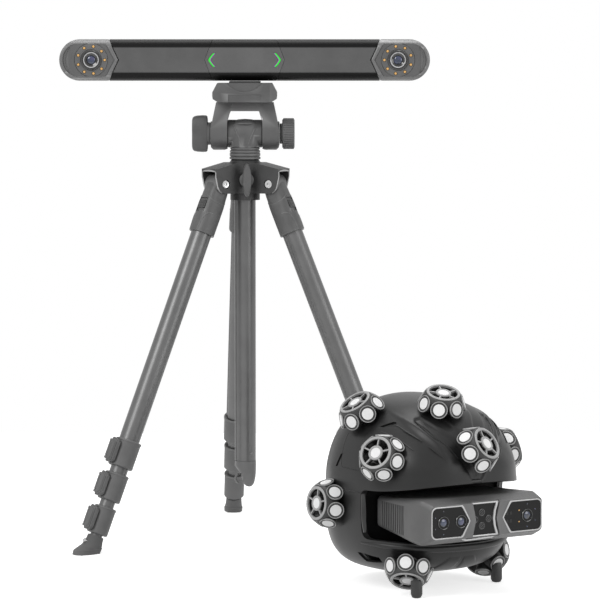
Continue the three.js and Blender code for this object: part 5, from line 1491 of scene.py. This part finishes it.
case = gather(module_case(), module_frames(), module_windows(), module_tongue())
placed(case, "module", hand_place, "stand", "module_metal", "module_body", degrees=30)
for index, x in enumerate((-67, -40, 63)):
    place = hand_place @ at(x / 1000, (module_front + 5.2) / 1000, module_middle / 1000) @ turn(90, "X")
    placed(module_lens(), f"lens.{index + 2:03}", place, "stand", "lens_glass", f"module_lens_{index + 1}")


# The handle: a rubber-skinned grip between the shells behind the module, with a sprung trigger.
grip_rubber = finish("grip rubber", 58, 0.75, grain=0.5, grain_size=0.0008, mottle=0.06)
button = finish("button", 96, 0.45, grain=0.2, mottle=0.04)


def grip():
    """A waisted bar with a pad in front, the trigger's well in it, and ribs behind."""
    body = lofted([section_ring(*ring, 2.4) for ring in (
        (26, 26, -104), (25, 26, -92), (19, 23, -70), (16.5, 22, -45), (15.4, 20.4, 0), (16.5, 21.5, 40),
        (19, 23, 66), (25, 26, 88), (26, 26, 99))])
    body = moved(body, at(0, 35))
    soft = body.modifiers.new("soft", "SUBSURF")
    soft.levels = 1
    soft.render_levels = 1
    body = combine(keep_shape(body), ball(3.9), "INTERSECT")
    pad = rounded(block(-16, 16, -33, 35, 11.5, 30, "front"), 2, 3)
    parts = [combine(combine(body, pad, "UNION"), block(-7.8, 7.8, 11.7, 32.3, 4, 19.5, "front"))]
    angles = [math.radians(-64 + 128 * k / 16) for k in range(17)]
    for i in range(1, 13):
        z = -38 + i * 6.2
        rib = [Vector((15.9 * math.sin(a), 35 + 20.9 * math.cos(a), z)) for a in angles]
        parts.append(swept(rib, 0.9, 8, 0.8))
    return painted(grip_rubber, *parts)


def trigger():
    """A rounded button in the pad's well."""
    outline = [(x, z + 22) for x, z in round_box(4.5, 6.5, 3, 5)]
    return painted(button, rounded(prism(outline, 7.6, 16, "front"), 1.2, 3))


placed(grip(), "grip", hand_place, "stand", "black_rubber", "handle")
placed(trigger(), "trigger", hand_place, "trigger", "button_plastic", "trigger_button")


# The marker wheels: eight satin plastic discs that stand off the ball on stems, each with a round of
# seven leaning pods that carry white reflective discs and one disc on its hub, read by the tracker bar.
wheel_black = finish("wheel black", 40, 0.5, grain=0.25, mottle=0.05, edge_wear_and_highlight=0.2)
# Painted highlight: the rims, rings, hub trim and spokes are painted pale grey where their edges catch the
# light.
painted_highlight_grey = finish("pale grey with painted highlight", 168, 0.45, grain=0.15, mottle=0.04)
marker_white = finish("marker disc", 246, 0.55, grain=0.1, mottle=0.02)
wheel_half = 13


def wheel_hub():
    """The drum behind the pods, its open front with a ring, spokes and the hub disc; ring, trim and spokes are
    painted pale as a highlight.
    """
    drum = turned([(0, -wheel_half), (15, -wheel_half), (19, -11), (23.5, -7), (25, -2), (25, 4), (23.8, 9.4),
                   (22.6, 11.4), (21.6, 12), (18.6, 12), (18.4, 11), (18.4, -2), (17, -3), (0, -3)], 72)
    ring = turned([(18.3, 10), (18.3, 12.6), (18.8, 13), (21, 13), (21.8, 12.4), (21.8, 11)], 72, hoop=True)
    hub = turned([(9.6, -4), (9.6, 11.4), (9.2, 12), (7.4, 12), (7.2, 11.2), (0, 11.2)], 56)
    trim = turned([(7.0, 10.6), (9.9, 10.6), (9.9, 12.0), (9.3, 12.7), (7.4, 12.7), (7.0, 12.2)], 56, hoop=True)
    disc = turned([(6.9, 10.8), (6.9, 12.0), (6.7, 12.2), (0, 12.2)], 56)
    spoke = rounded(block(-5.2, 5.2, -1.0, 1.0, 8.6, 11.8), 0.4)
    spokes = ring_of(spoke, painted_highlight_grey, 5, 14, first_angle=math.radians(90))
    return gather(painted(wheel_black, drum, hub), painted(painted_highlight_grey, ring, trim), painted(marker_white, disc),
                  spokes)


def pods(material, profile, hoop=False):
    """One part of the seven pods, which lean outwards round the wheel; the first stands above."""
    part = moved(turned(profile, 48, hoop), at(z=-1.2))
    return ring_of(part, material, 7, 27.5, lean=math.radians(67), first_angle=math.radians(90))


def marker_wheel(stem_length):
    """A hub on its stem, and the pods' bevelled seats, rims painted pale as a highlight, and white discs."""
    stem = turned([(0, -wheel_half - stem_length), (13, -wheel_half - stem_length), (12.4, -wheel_half - 2),
                   (14, -wheel_half + 0.4), (0, -wheel_half + 0.4)], 48)
    seats = pods(wheel_black, [(0, -15), (5.5, -15), (8, -10), (10.4, -3), (10.9, -1), (10.3, 0.4), (9.9, 1.0),
                               (7.6, 1.0), (7.4, 0.5), (0, 0.5)])
    rims = pods(painted_highlight_grey, [(10.2, -0.2), (11, 0), (11, 1.3), (10.7, 1.8), (10.2, 1.7), (9.9, 1.2)], hoop=True)
    discs = pods(marker_white, [(7.5, 0.6), (7.5, 1.35), (7.3, 1.5), (0, 1.5)])
    return gather(wheel_hub(), painted(wheel_black, stem), seats, rims, discs)


def standing_peg(x, y, top):
    """A round peg from a wheel down to the ground."""
    peg = turned([(0, -126), (3.4, -126), (5.8, -125), (7.5, -121), (7.5, top - 4), (6, top), (0, top)], 32)
    return painted(wheel_black, moved(peg, at(x, y)))


# Each wheel's middle, the way it faces, its stem's length, and its peg's place and top where it has one.
wheel_places = [
    ((-88, -5, 107), (-0.58, 0, 0.81), 8, None), ((-15, -87, 121), (-0.11, -0.36, 0.93), 8, None),
    ((2, -147, 66), (0.27, -0.8, 0.51), 8, None), ((122, -40, 46), (0.87, -0.3, 0.29), 8, None),
    ((-109, -83, 56), (-0.81, -0.43, 0.45), 8, None), ((-128, 17, -15), (-0.98, -0.05, 0.1), 8, None),
    ((-73, -95, -95), (-0.42, -0.45, -0.79), 10, (-68, -107, -100)),
    ((98, -38, -97), (0.7, -0.08, -0.7), 10, (90, -62, -100)),
]
for index, (spot, way, stem_length, peg_spot) in enumerate(wheel_places):
    place = at(*spot) @ Vector(way).to_track_quat("Z", "Y").to_matrix().to_4x4()
    wheel = moved(marker_wheel(stem_length), place)
    if peg_spot:
        wheel = gather(wheel, standing_peg(*peg_spot))
    placed(wheel, f"wheel.{index + 1:03}", hand_place, "stand", "wheel_plastic", f"marker_wheel_{index + 1}",
           degrees=35)
